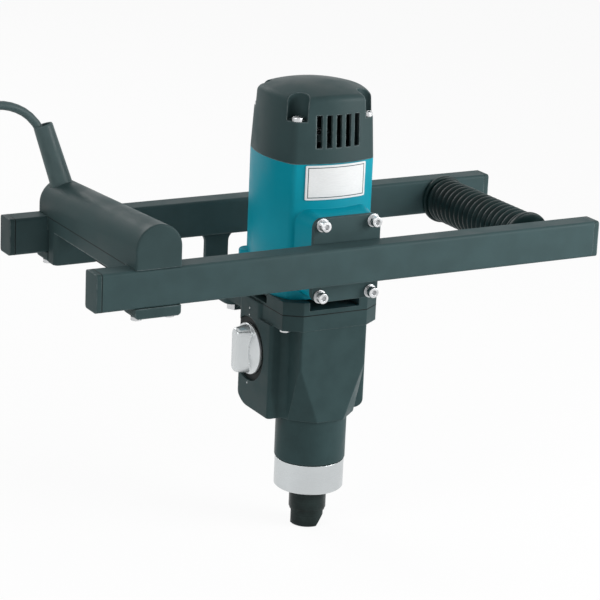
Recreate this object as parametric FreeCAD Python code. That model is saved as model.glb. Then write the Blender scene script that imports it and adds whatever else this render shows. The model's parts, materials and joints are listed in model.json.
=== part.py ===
"""Mixing drill with a two-bar frame, in millimetres.

The origin is the mouth of the spindle's thread, +Z runs up the spindle, +X points to the ribbed grip
and -Y to the front bar. Each function makes one piece, or one group of equal pieces.
"""
import FreeCAD
import Part
import math
import os

V = FreeCAD.Vector
X_AXIS = V(1, 0, 0)
Y_AXIS = V(0, 1, 0)
Z_AXIS = V(0, 0, 1)

# Clearances of fits
running_clearance = 0.05
loose_clearance = 0.4
screw_clearance = 0.3

# Frame bars and their end caps
bar_length = 452.0
bar_width = 20.0
bar_height = 30.0
bar_wall = 2.0
bar_corner = 2.5
bar_spacing = 167.3
bar_mid_x = 2.0
bar_mid_y = 29.3
bar_lift = 22.0
cap_plate = 4.6
cap_insert = 16.0

# Front bracket plate and its screws
bracket_width = 60.0
bracket_height = 68.5
bracket_lift = 0.8
bracket_thickness = 4.0
bracket_corner = 8.0
bracket_bolt_x = 45.8
bracket_bolt_z = 58.0
bracket_bolt_radius = 2.5
bracket_bolt_length = 22.0
bracket_head_radius = 4.3
bracket_head_height = 5.0
hex_socket = 4.0
flat_washer_radius = 5.4
flat_washer_thickness = 1.0
spring_washer_radius = 4.6
spring_washer_thickness = 1.4

# Rear brackets: a leg under the rear bar on each side, with a foot that reaches forward
leg_outer = 45.0
leg_width = 21.0
leg_thickness = 4.0
leg_web = 8.0
foot_nose = 8.5
foot_corner = 8.0
foot_bolt_radius = 4.0
foot_head_radius = 6.5
foot_head_height = 5.3

# Spindle and collar
spindle_end_radius = 14.6
spindle_end_length = 14.5
spindle_flats = 26.6
spindle_cut_depth = 5.3
spindle_cut_height = 9.5
spindle_flat_turn = -30.0
spindle_radius = 15.3
thread_bore_radius = 6.0
thread_depth = 25.0
spindle_journal_radius = 12.5
spindle_gear_radius = 10.0
spindle_top_radius = 5.0
spindle_shoulder_radius = 15.0
spline_width = 3.0
spline_depth = 1.5
collar_bottom = 33.7
collar_height = 24.8
collar_radius = 28.5
collar_bore_radius = 16.5
collar_spigot_height = 15.5
seal_radius = 20.0
seal_height = 7.0
lower_bearing_radius = 26.0
lower_bearing_height = 15.0
upper_bearing_radius = 11.0
upper_bearing_height = 6.0

# Gear housing
neck_radius = 29.1
neck_chamfer = 1.5
neck_length = 39.5
nose_front = 31.5
nose_half = 30.5
nose_edge_round = 2.5
facet_height = 50.0
facet_width = 18.5
facet_depth = 16.0
body_wall = 9.0
body_rear = 51.0
body_corner = 8.0
body_front_corner = 3.0
body_step = 8.0
body_side_round = 9.0
body_heel_round = 22.0
flange_half = 43.0
flange_front = 32.0
flange_rear = 57.0
flange_corner = 13.0
flange_cut_x = 14.0
flange_cut_y = 9.5
cheek_front = 8.0
flange_thickness = 13.0
floor_thickness = 16.0
cavity_half = 36.0
cavity_front = 0.0
cavity_rear = 45.0
cavity_corner = 7.5
nose_cavity_radius = 28.3
nose_floor_thickness = 8.0
front_flute = 6.0
front_screw_x = 37.7
front_screw_y = 18.0
rear_flute = 5.6
rear_screw_x = 35.0
rear_screw_y = 51.0
housing_screw_recess = 2.5
housing_screw_radius = 2.5
housing_screw_head_radius = 4.4
housing_screw_head_height = 4.5
housing_screw_length = 20.0
ear_half_width = 9.0
ear_rear = 84.0
fork_rod_seat = 6.0
fork_spring_wire = 0.5
fork_spring_turns = 6
fork_spring_play = 0.4

# Speed knob and shift parts
knob_y = 30.0
knob_lift = 7.0
knob_recess_radius = 27.0
knob_recess_depth = 4.6
knob_base_thickness = 2.4
knob_disc_radius = 21.2
knob_rim = 2.2
knob_disc_thickness = 5.6
knob_hub_radius = 10.0
knob_width = 19.0
knob_height = 41.0
knob_reach = 14.7
knob_crown_round = 3.0
knob_top_width = 11.0
knob_top_height = 37.0
knob_shaft_radius = 6.0
shift_crank = 3.0
shift_pin_radius = 2.0
fork_rod_radius = 3.0
fork_rod_x = -26.0
fork_rod_y = 33.0
fork_thickness = 4.2
fork_hub_radius = 6.4
fork_hub_drop = 2.0
fork_hub_rise = 8.0
fork_band = 5.5
fork_arm_half = 4.0
fork_pad_front = 7.5
fork_pad_rear = 9.0
fork_pad_half = 6.5
fork_slot_front = 5.0
fork_slot_rear = 7.0
fork_slot_depth = 3.4
fork_slot_play = 1.2

# Gears: first stage motor pinion to layshaft, second stage layshaft to spindle
pressure_angle = math.radians(20.0)
tooth_play = 0.16
first_module = 1.0
pinion_teeth = 7
layshaft_gear_teeth = 33
second_module = 1.25
low_pinion_teeth = 11
low_gear_teeth = 41
high_pinion_teeth = 18
high_gear_teeth = 34
low_gear_width = 14.0
high_gear_width = 12.0
layshaft_gear_width = 12.0
pinion_length = 15.0
layshaft_radius = 5.0
layshaft_journal_radius = 3.5
layshaft_bearing_radius = 9.5
layshaft_bearing_height = 6.0
sleeve_radius = 17.0
sleeve_length = 18.0
sleeve_groove_radius = 13.2
sleeve_groove_width = 5.0
dog_height = 4.0
dog_count = 4
cone_height = 3.0
low_gear_lift = 2.0
gear_gap = 1.0
high_gear_gap = 7.0
first_stage_gap = 4.0
housing_top_gap = 6.0

# Motor
motor_offset = 18.7
bearing_plate_height = 11.0
bearing_plate_web = 4.0
exhaust_left = -23.7
exhaust_right = 21.3
vent_lip = 2.5
side_vent_lift = 2.0
side_vent_front = 5.0
side_vent_rear = 28.0
motor_half = 44.2
motor_side_radius = 88.6
motor_corner = 7.0
motor_wall = 3.5
fan_room_half = 34.8
foot_boss_x = 36.5
foot_boss_y = 51.0
foot_boss_radius = 8.0
foot_boss_height = 25.0
boss_flare = 4.5
motor_end_room = 60.3
motor_bearing_sink = 1.0
motor_bearing_radius = 11.0
motor_bearing_bore = 4.0
motor_bearing_height = 7.0
armature_shaft_radius = 5.0
armature_radius = 23.6
armature_length = 50.0
armature_lift = 28.0
armature_slots = 12
air_gap = 0.8
winding_radius = 20.5
winding_overhang = 5.0
stator_radius = 37.0
stator_seat = 6.0
coil_angle = 37.0
coil_thickness = 5.2
coil_overhang = 5.0
commutator_radius = 13.0
commutator_length = 16.0
commutator_bars = 24
fan_radius = 32.0
fan_height = 11.0
fan_blades = 12
fan_gap = 3.5
brush_width = 8.0
brush_thickness = 6.0
brush_length = 15.0
brush_gap = 0.4
holder_wall = 1.5
plate_width = 53.6
plate_height = 27.8
plate_thickness = 0.8
plate_glue = 0.15
plate_mid_x = -0.4
plate_top_gap = 0.8

# Top cover
cover_height = 59.3
cover_wall = 3.0
cover_taper = 3.6
cover_dome_radius = 130.0
cover_edge_round = 6.0
pocket_radius = 8.5
pocket_floor = 33.4
pocket_centre = 31.0
pocket_wall = 2.0
cover_screw_radius = 2.0
cover_screw_head_radius = 4.8
cover_screw_head_height = 3.6
cover_screw_length = 46.0
vent_width = 4.9
vent_height = 25.9
vent_pitch = 8.4
vent_count = 5
vent_mid_x = 0.2
vent_lift = 12.5
bridge_radius = 33.0
bridge_thickness = 4.0
bridge_ledge = 4.0
bridge_tab_half = 8.0
bridge_arm_half = 3.0
bridge_band = 5.0
bridge_bearing_lift = 9.7
commutator_gap = 5.0
ledge_half = 10.0
ledge_height = 7.0

# Switch handle
handle_inset = 51.0
handle_half = 19.0
handle_wall_rise = 45.5
handle_fall = 8.5
handle_drop = 10.5
handle_wall = 3.0
handle_leg = 16.0
handle_leg_drop = 7.0
handle_end_round = 4.5
handle_leg_round = 4.0
handle_edge_round = 1.2
handle_room_front = 20.0
handle_room_rear = 21.0
handle_base_thickness = 3.0
clamp_thickness = 8.0
clamp_screw_edge = 5.5
clamp_screw_radius = 2.5
clamp_head_radius = 4.2
clamp_head_height = 3.0
clamp_screw_grip = 9.0
switch_length = 54.0
switch_height = 10.8
switch_front = -2.0
trigger_half = 9.0
trigger_front = -8.0
trigger_reach = 8.0
trigger_pin_y = 44.0
trigger_pin_lift = 5.0
trigger_pin_radius = 1.5
trigger_pin_half = 13.0
trigger_hub_radius = 3.6
trigger_top_lift = 4.5
trigger_lip = 3.5
spring_wire_radius = 0.4
spring_turns = 5
spring_pitch = 1.3
button_y = 62.0
button_lift = 14.0
button_radius = 4.0
button_reach = 4.0
button_collar = 1.6

# Ribbed grip
grip_inset = 47.0
grip_drop = 2.5
grip_tube_radius = 11.0
grip_tube_wall = 2.0
grip_flange_radius = 20.7
grip_flange_width = 4.0
grip_rib_radius = 19.0
grip_valley_radius = 16.9
grip_rib_count = 18
grip_front_gap = 13.5

# Cord guard, cord, coil, tie and plug
cord_radius = 3.6
guard_offset_x = 3.5
guard_offset_y = 2.95
guard_depth = 12.5
guard_direction = V(-0.27, 0.2, 1.0).normalize()
guard_length = 52.0
guard_socket = 12.0
guard_base_radius = 9.0
guard_tip_radius = 7.9
guard_mouth_radius = 7.0
guard_bore_radius = 4.2
guard_flare = 24.0
guard_bore_depth = 36.0
cord_run = 38.0
cord_rise = 31.0
cord_dip = 14.0
cord_drop = 60.0
coil_radius = 39.4
coil_turns = 9
coil_pitch = 7.8
tail_length = 46.0
tie_width = 8.0
tie_thickness = 1.2
plug_neck_length = 22.0
plug_radius = 17.0
plug_length = 27.0
plug_pin_radius = 2.4
plug_pin_length = 19.0
plug_pin_spread = 19.0

# Places that follow from the sizes above
neck_bottom = collar_bottom + collar_height
lower_bearing_z = neck_bottom + collar_spigot_height
body_bottom = neck_bottom + neck_length
gear_floor = body_bottom + floor_thickness
nose_cavity_floor = body_bottom + nose_floor_thickness
first_distance = first_module * (pinion_teeth + layshaft_gear_teeth) / 2
second_distance = second_module * (low_pinion_teeth + low_gear_teeth) / 2
layshaft_y = (second_distance ** 2 - first_distance ** 2 + motor_offset ** 2) / (2 * motor_offset)
layshaft_x = math.sqrt(second_distance ** 2 - layshaft_y ** 2)
low_gear_z = gear_floor + low_gear_lift
sleeve_z = low_gear_z + low_gear_width + gear_gap
sleeve_mid_z = sleeve_z + sleeve_length / 2
high_gear_z = sleeve_z + sleeve_length + high_gear_gap
first_stage_z = high_gear_z + high_gear_width + first_stage_gap
body_half = cavity_half + body_wall
knob_z = sleeve_mid_z + knob_lift
fork_z = sleeve_mid_z - fork_thickness / 2
housing_top = first_stage_z + layshaft_gear_width + housing_top_gap
flange_bottom = housing_top - flange_thickness
motor_bottom = housing_top + bearing_plate_height
motor_top = motor_bottom + armature_length + motor_end_room
motor_front = motor_offset - motor_half
motor_inner = motor_half - motor_wall
cover_top = motor_top + cover_height
bar_bottom = motor_bottom + bar_lift
bar_top = bar_bottom + bar_height
bar_mid_z = bar_bottom + bar_height / 2
bar_left = bar_mid_x - bar_length / 2
bar_right = bar_mid_x + bar_length / 2
front_bar_y = bar_mid_y - bar_spacing / 2
rear_bar_y = bar_mid_y + bar_spacing / 2
front_face = front_bar_y - bar_width / 2
front_inner = front_bar_y + bar_width / 2
rear_inner = rear_bar_y - bar_width / 2
rear_face = rear_bar_y + bar_width / 2
motor_bearing_z = motor_bottom - motor_bearing_sink
armature_z = motor_bottom + armature_lift
stator_bore = armature_radius + air_gap
commutator_z = armature_z + armature_length + winding_overhang + commutator_gap
bridge_bearing_z = motor_top + bridge_bearing_lift
bracket_mid_z = bar_mid_z + bracket_lift
handle_x = bar_left + handle_inset
handle_under = bar_top - handle_drop
handle_crown = bar_bottom + handle_wall_rise + handle_half
room_front = front_inner + handle_room_front
room_rear = rear_inner - handle_room_rear
trigger_pin_z = handle_under + trigger_pin_lift
foot_bolt_y = ear_rear - ear_half_width
foot_bolt_x = leg_outer - leg_width / 2
screw_seat = flange_bottom + housing_screw_recess
grip_x = bar_right - grip_inset
grip_z = bar_mid_z - grip_drop
guard_base = V(handle_x - guard_offset_x, rear_bar_y - guard_offset_y, handle_crown - guard_depth)
guard_tip = guard_base + guard_direction * guard_length


# Helpers
def on_xy(u, v, w):
    """Point of a drawing plane that faces along Z."""
    return V(u, v, w)


def on_yz(u, v, w):
    """Point of a drawing plane that faces along X."""
    return V(w, u, v)


def on_xz(u, v, w):
    """Point of a drawing plane that faces along Y."""
    return V(u, w, v)


def block(x0, x1, y0, y1, z0, z1):
    """Box between two corners."""
    return Part.makeBox(x1 - x0, y1 - y0, z1 - z0, V(x0, y0, z0))


def rod(start, direction, radius, length):
    """Cylinder from a start point."""
    return Part.makeCylinder(radius, length, start, direction)


def post(x, y, z0, z1, radius):
    """Upright cylinder."""
    return rod(V(x, y, z0), Z_AXIS, radius, z1 - z0)


def ring(x, y, z0, z1, outer, inner):
    """Upright ring."""
    return post(x, y, z0, z1, outer).cut(post(x, y, z0 - 1, z1 + 1, inner))


def rounded_wire(plane, u0, u1, v0, v1, radius, w):
    """Rectangle with four round corners in a drawing plane."""
    corners = (
        (u1 - radius, v0 + radius, -90),
        (u1 - radius, v1 - radius, 0),
        (u0 + radius, v1 - radius, 90),
        (u0 + radius, v0 + radius, 180),
    )
    arcs = []
    for u, v, start in corners:
        points = []
        for step in (0, 45, 90):
            angle = math.radians(start + step)
            points.append(plane(u + radius * math.cos(angle), v + radius * math.sin(angle), w))
        arcs.append(points)
    edges = []
    for index, points in enumerate(arcs):
        edges.append(Part.Arc(*points).toShape())
        edges.append(Part.LineSegment(points[2], arcs[(index + 1) % 4][0]).toShape())
    return Part.Wire(edges)


def rounded_box(plane, u0, u1, v0, v1, radius, w0, w1):
    """Prism of a round-cornered rectangle."""
    face = Part.Face(rounded_wire(plane, u0, u1, v0, v1, radius, w0))
    return face.extrude(plane(0, 0, w1 - w0))


def bulged_wire(half, side_radius, corner, z):
    """Square with bowed sides and round corners about the motor axis."""
    reach = side_radius - half
    gap = side_radius - corner
    t = (math.sqrt(2 * gap ** 2 - reach ** 2) - reach) / 2
    length = math.hypot(t + reach, t)
    touch = V(side_radius * (t + reach) / length - reach, side_radius * t / length, 0)
    side = Part.Arc(V(touch.x, -touch.y, 0), V(half, 0, 0), touch).toShape()
    diagonal = t + corner / math.sqrt(2)
    turn = Part.Arc(touch, V(diagonal, diagonal, 0), V(touch.y, touch.x, 0)).toShape()
    edges = []
    for quarter in range(4):
        for edge in (side, turn):
            copy = edge.copy()
            copy.rotate(V(0, 0, 0), Z_AXIS, 90 * quarter)
            copy.translate(V(0, motor_offset, z))
            edges.append(copy)
    return Part.Wire(edges)


def motor_form(inset, z0, z1):
    """Prism of the motor's bowed square, set in from its outside."""
    wire = bulged_wire(motor_half - inset, motor_side_radius - inset, motor_corner - inset, z0)
    return Part.Face(wire).extrude(V(0, 0, z1 - z0))


def polygon_wire(plane, points, w):
    """Closed polygon in a drawing plane."""
    corners = [plane(u, v, w) for u, v in points]
    return Part.makePolygon(corners + corners[:1])


def polygon_prism(plane, points, w0, w1):
    """Prism of a polygon."""
    return Part.Face(polygon_wire(plane, points, w0)).extrude(plane(0, 0, w1 - w0))


def turned(points, centre, axis=Z_AXIS):
    """Solid of revolution from (radius, height) points about an axis through the centre."""
    outline = Part.makePolygon([V(r, 0, h) for r, h in points + points[:1]])
    solid = Part.Face(outline).revolve(V(0, 0, 0), Z_AXIS, 360)
    turn = FreeCAD.Rotation(Z_AXIS, axis)
    solid.Placement = FreeCAD.Placement(centre, turn)
    return solid


def around(shape, count, centre, axis=Z_AXIS):
    """Equal copies of a shape round an axis."""
    copies = []
    for index in range(count):
        copy = shape.copy()
        copy.rotate(centre, axis, 360.0 * index / count)
        copies.append(copy)
    return copies


def mirrored_x(shape):
    """Copy on the other side of the plane x = 0."""
    return shape.mirror(V(0, 0, 0), X_AXIS)


def join(shapes):
    """One solid from touching or crossing shapes."""
    return shapes[0].fuse(shapes[1:]).removeSplitter()


def bearing(x, y, z, outer, bore, height):
    """Sealed ball bearing with recessed shields."""
    depth = 0.5
    middle = (outer + bore) / 2
    lip = (outer - bore) / 5
    shape = ring(x, y, z, z + height, outer, bore + running_clearance)
    for level in (z - 1, z + height - depth):
        shape = shape.cut(ring(x, y, level, level + 1 + depth * (level < z), middle + lip, middle - lip))
    return shape


def involute(angle):
    """Involute function of an angle."""
    return math.tan(angle) - angle


def gear(x, y, z, height, teeth, module, addendum, dedendum, aim):
    """Spur gear without bore, with the middle of one tooth at the angle aim."""
    pitch_radius = teeth * module / 2
    base_radius = pitch_radius * math.cos(pressure_angle)
    root_radius = pitch_radius - dedendum
    tip_radius = pitch_radius + addendum
    half_at_pitch = (math.pi * module / 2 - tooth_play) / (2 * pitch_radius)
    flank_start = max(root_radius, base_radius)
    flank_steps = 4
    flank = []
    for step in range(flank_steps + 1):
        radius = flank_start + (tip_radius - flank_start) * step / flank_steps
        roll = math.acos(min(1.0, base_radius / radius))
        flank.append((radius, half_at_pitch + involute(pressure_angle) - involute(roll)))
    if root_radius < base_radius:
        flank.insert(0, (root_radius, flank[0][1]))
    points = []
    for tooth in range(teeth):
        middle = aim + 2 * math.pi * tooth / teeth
        sides = [(r, middle - half) for r, half in flank] + [
            (r, middle + half) for r, half in reversed(flank)
        ]
        points.extend((x + r * math.cos(a), y + r * math.sin(a)) for r, a in sides)
    return polygon_prism(on_xy, points, z, z + height)


def tangent_arc(start, tangent, end):
    """Arc that leaves start along tangent and ends at end."""
    chord = end - start
    along = V(chord).normalize()
    side = tangent - along * tangent.dot(along)
    turn = math.acos(max(-1.0, min(1.0, tangent.dot(along))))
    middle = start + chord * 0.5 + side.normalize() * (chord.Length / 2 * math.tan(turn / 2))
    return Part.Arc(start, middle, end).toShape()


def biarc(start, start_tangent, end, end_tangent):
    """Two arcs that join two points smoothly along two tangents."""
    span = end - start
    both = start_tangent + end_tangent
    spare = 2 * (1 - start_tangent.dot(end_tangent))
    reach = (-span.dot(both) + math.sqrt(span.dot(both) ** 2 + spare * span.dot(span))) / spare
    middle = (start + end + (start_tangent - end_tangent) * reach) * 0.5
    back = tangent_arc(end, end_tangent * -1, middle)
    return [tangent_arc(start, start_tangent, middle), back]


def tube_along(edges, start, tangent, radius):
    """Round solid along a path of lines and arcs."""
    path = Part.Wire(Part.__sortEdges__(edges))
    profile = Part.Wire(Part.Circle(start, tangent, radius).toShape())
    return path.makePipeShell([profile], True, False)


def helix_point(start, inward, axis, radius, pitch, angle):
    """Point of a helix that starts at start, with its axis in the direction inward."""
    centre = start + inward * radius
    drop = inward.cross(axis)
    around_axis = drop * math.sin(angle) - inward * math.cos(angle)
    return centre + around_axis * radius + axis * (pitch * angle / (2 * math.pi))


def helix_tangent(inward, axis, radius, pitch, angle):
    """Direction of the same helix."""
    drop = inward.cross(axis)
    turning = inward * math.sin(angle) + drop * math.cos(angle)
    along = turning * radius + axis * (pitch / (2 * math.pi))
    return along.normalize()


def helix_edges(start, inward, axis, radius, pitch, turns):
    """Biarcs of a helix, one for each quarter turn."""
    edges = []
    for quarter in range(int(round(turns * 4))):
        a0 = quarter * math.pi / 2
        a1 = a0 + math.pi / 2
        edges += biarc(
            helix_point(start, inward, axis, radius, pitch, a0),
            helix_tangent(inward, axis, radius, pitch, a0),
            helix_point(start, inward, axis, radius, pitch, a1),
            helix_tangent(inward, axis, radius, pitch, a1),
        )
    return edges


def print_gap(name, edges, wire_radius, skip_length):
    """Print the least gap of a wound tube to itself, measured on points of its path."""
    points = []
    for edge in edges:
        points += edge.discretize(7)[:-1]
    step = sum(edge.Length for edge in edges) / len(points)
    skip = int(skip_length / step)
    least = min(
        points[i].distanceToPoint(points[j])
        for i in range(len(points)) for j in range(i + skip, len(points))
    )
    print(name, "least gap to itself", round(least - 2 * wire_radius, 2))


def route_edges(points):
    """Straight runs of a cord's route joined by the largest tangent arcs, and their radii."""
    edges = []
    radii = []
    last = points[0]
    for before, corner, after in zip(points, points[1:], points[2:]):
        come = V(corner - before).normalize()
        leave = V(after - corner).normalize()
        reach = 0.45 * min((corner - before).Length, (after - corner).Length)
        radii.append(reach / math.tan(come.getAngle(leave) / 2))
        begin = corner - come * reach
        end = corner + leave * reach
        edges.append(Part.LineSegment(last, begin).toShape())
        edges.append(tangent_arc(begin, come, end))
        last = end
    edges.append(Part.LineSegment(last, points[-1]).toShape())
    return edges, radii


# Frame
def bar(y):
    """Rectangular tube along X, with holes for the clamp screws."""
    x0 = bar_left + cap_plate
    x1 = bar_right - cap_plate
    y0 = y - bar_width / 2
    y1 = y + bar_width / 2
    outer = rounded_box(on_yz, y0, y1, bar_bottom, bar_top, bar_corner, x0, x1)
    inner = rounded_box(
        on_yz,
        y0 + bar_wall,
        y1 - bar_wall,
        bar_bottom + bar_wall,
        bar_top - bar_wall,
        bar_corner / 2,
        x0 - 1,
        x1 + 1,
    )
    tube = outer.cut(inner)
    for x in clamp_screw_places():
        tube = tube.cut(post(x, y, bar_bottom - 1, bar_top + 1, clamp_screw_radius + screw_clearance))
    return tube


def bar_end_caps():
    """Four plastic caps that close the bars."""
    caps = []
    half_y = bar_width / 2 - bar_wall - running_clearance
    for y in (front_bar_y, rear_bar_y):
        for edge, inward in ((bar_left, 1), (bar_right, -1)):
            plate_ends = sorted((edge, edge + inward * cap_plate))
            insert_ends = sorted((edge + inward * cap_plate, edge + inward * (cap_plate + cap_insert)))
            plate = rounded_box(
                on_yz, y - bar_width / 2, y + bar_width / 2, bar_bottom, bar_top, bar_corner, *plate_ends
            )
            insert = rounded_box(
                on_yz,
                y - half_y,
                y + half_y,
                bar_bottom + bar_wall + running_clearance,
                bar_top - bar_wall - running_clearance,
                bar_corner / 2,
                *insert_ends
            )
            caps.append(join([plate, insert]))
    return Part.makeCompound(caps)


def bracket_bolt_places():
    """Centres of the four bracket screws in x and z."""
    return [
        (sx * bracket_bolt_x / 2, bracket_mid_z + sz * bracket_bolt_z / 2)
        for sx in (-1, 1)
        for sz in (-1, 1)
    ]


def front_bracket():
    """Plate on the inner face of the front bar."""
    plate = rounded_box(
        on_xz,
        -bracket_width / 2,
        bracket_width / 2,
        bracket_mid_z - bracket_height / 2,
        bracket_mid_z + bracket_height / 2,
        bracket_corner,
        front_inner,
        front_inner + bracket_thickness,
    )
    for x, z in bracket_bolt_places():
        start = V(x, front_inner - 1, z)
        plate = plate.cut(rod(start, Y_AXIS, bracket_bolt_radius + screw_clearance, bracket_thickness + 2))
    return plate


def hex_prism(centre, direction, across, length):
    """Hexagonal prism from a centre point along a direction."""
    radius = across / math.sqrt(3)
    points = [(radius * math.cos(math.pi / 3 * k), radius * math.sin(math.pi / 3 * k)) for k in range(6)]
    shape = polygon_prism(on_xy, points, 0, length)
    shape.Placement = FreeCAD.Placement(centre, FreeCAD.Rotation(Z_AXIS, direction))
    return shape


def bracket_bolts():
    """Four socket cap screws through the front bracket."""
    bolts = []
    seat = front_inner - flat_washer_thickness - spring_washer_thickness
    for x, z in bracket_bolt_places():
        head = rod(V(x, seat - bracket_head_height, z), Y_AXIS, bracket_head_radius, bracket_head_height)
        head = head.makeChamfer(
            0.4, [e for e in head.Edges if abs(e.CenterOfMass.y - seat + bracket_head_height) < 0.01]
        )
        socket = hex_prism(
            V(x, seat - bracket_head_height - 1, z), Y_AXIS, hex_socket, 1 + bracket_head_height / 2
        )
        shank = rod(V(x, seat, z), Y_AXIS, bracket_bolt_radius, bracket_bolt_length)
        bolts.append(join([head.cut(socket), shank]))
    return Part.makeCompound(bolts)


def bracket_flat_washers():
    """Flat washers of the bracket screws."""
    washers = []
    for x, z in bracket_bolt_places():
        disc = rod(
            V(x, front_inner - flat_washer_thickness, z), Y_AXIS, flat_washer_radius, flat_washer_thickness
        )
        hole = rod(V(x, front_inner - 5, z), Y_AXIS, bracket_bolt_radius + screw_clearance, 10)
        washers.append(disc.cut(hole))
    return Part.makeCompound(washers)


def bracket_spring_washers():
    """Split spring washers between the heads and the flat washers."""
    washers = []
    front = front_inner - flat_washer_thickness - spring_washer_thickness
    for x, z in bracket_bolt_places():
        disc = rod(V(x, front, z), Y_AXIS, spring_washer_radius, spring_washer_thickness)
        hole = rod(V(x, front - 1, z), Y_AXIS, bracket_bolt_radius + screw_clearance, 5)
        split = block(x - 0.4, x + 0.4, front - 1, front + 5, z, z + spring_washer_radius + 1)
        washers.append(disc.cut(hole).cut(split))
    return Part.makeCompound(washers)


def rear_brackets():
    """Leg under the rear bar on each side, with a web at both edges and a foot under the housing's ear."""
    y0 = rear_bar_y - leg_thickness / 2
    y1 = rear_bar_y + leg_thickness / 2
    foot_top = flange_bottom
    foot_bottom = foot_top - leg_thickness
    inner = leg_outer - leg_width
    leg = block(inner, leg_outer, y0, y1, foot_bottom, bar_bottom)
    pieces = [leg]
    for edge, side in ((inner, -1), (leg_outer, 1)):
        ends = sorted((edge, edge + side * leg_web))
        web = block(ends[0], ends[1], y0, y1, bar_bottom - leg_web, bar_bottom)
        hollow = rod(
            V(edge + side * leg_web, y0 - 1, bar_bottom - leg_web), Y_AXIS, leg_web, leg_thickness + 2
        )
        pieces.append(web.cut(hollow))
    foot_front = foot_bolt_y - foot_nose
    pieces.append(rounded_box(on_xy, inner, leg_outer, foot_front, y1, foot_corner, foot_bottom, foot_top))
    pieces.append(block(inner, leg_outer, y1 - 2 * foot_corner, y1, foot_bottom, foot_top))
    hole = post(foot_bolt_x, foot_bolt_y, foot_bottom - 1, foot_top + 1, foot_bolt_radius + screw_clearance)
    bracket = join(pieces).cut(hole)
    return Part.makeCompound([bracket, mirrored_x(bracket)])


def foot_bolts():
    """Two hexagon bolts that hold the rear feet to the housing's ears."""
    bolts = []
    seat = flange_bottom - leg_thickness
    for side in (-1, 1):
        centre = V(side * foot_bolt_x, foot_bolt_y, seat - foot_head_height)
        head = hex_prism(centre, Z_AXIS, 2 * foot_head_radius, foot_head_height)
        shank = post(centre.x, centre.y, seat, housing_top, foot_bolt_radius)
        bolts.append(join([head, shank]))
    return Part.makeCompound(bolts)


# Gear housing
def housing_screw_places():
    """Centres of the four housing screws."""
    front = [(side * front_screw_x, -front_screw_y) for side in (-1, 1)]
    return front + [(side * rear_screw_x, rear_screw_y) for side in (-1, 1)]


def housing_nose():
    """Flat front of the gear housing round the spindle, with a slanted facet at each lower corner."""
    nose = block(-nose_half, nose_half, -nose_front, 0, body_bottom, flange_bottom)
    for side in (-1, 1):
        x = side * nose_half
        tip = V(x, -nose_front, body_bottom + facet_height)
        front = V(x - side * facet_width, -nose_front, body_bottom)
        back = V(x, -nose_front + facet_depth, body_bottom)
        corner = V(x, -nose_front, body_bottom)
        sides = ([tip, front, corner], [tip, corner, back], [tip, back, front], [corner, front, back])
        faces = [Part.Face(Part.makePolygon(points + points[:1])) for points in sides]
        nose = nose.cut(Part.makeSolid(Part.makeShell(faces)))
    front_edges = [
        e for e in nose.Edges if max(v.Y for v in e.Vertexes) < -nose_front + 0.1 and e.BoundBox.ZLength > 1
    ]
    return nose.makeFillet(nose_edge_round, front_edges)


def flange_plan(z0, z1):
    """Outline of the flange as a plate, with cut front corners and round rear corners."""
    half = flange_half
    cut_y = -flange_front + flange_cut_y
    cut_x = half - flange_cut_x
    middle = (cut_y + flange_rear) / 2
    front = [
        (-cut_x, -flange_front),
        (cut_x, -flange_front),
        (half, cut_y),
        (half, middle),
        (-half, middle),
        (-half, cut_y),
    ]
    rear = rounded_box(on_xy, -half, half, cut_y, flange_rear, flange_corner, z0, z1)
    return join([polygon_prism(on_xy, front, z0, z1), rear])


def rear_body():
    """Main block of the gear housing, with its heel and its lower right edge rounded off."""
    low = body_bottom
    high = flange_bottom
    back = rounded_box(on_xy, -body_half, body_half, -body_step, body_rear, body_corner, low, high)
    front = rounded_box(
        on_xy, -body_half, body_half, -body_step, body_rear / 2, body_front_corner, low, high
    )
    reach = body_half + body_rear
    heel = rounded_box(on_yz, -reach, body_rear, low, low + 2 * reach, body_heel_round, -reach, reach)
    side = rounded_box(on_xz, -2 * reach, body_half, low, low + 2 * reach, body_side_round, -reach, reach)
    return join([back, front]).common(heel).common(side)


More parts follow.
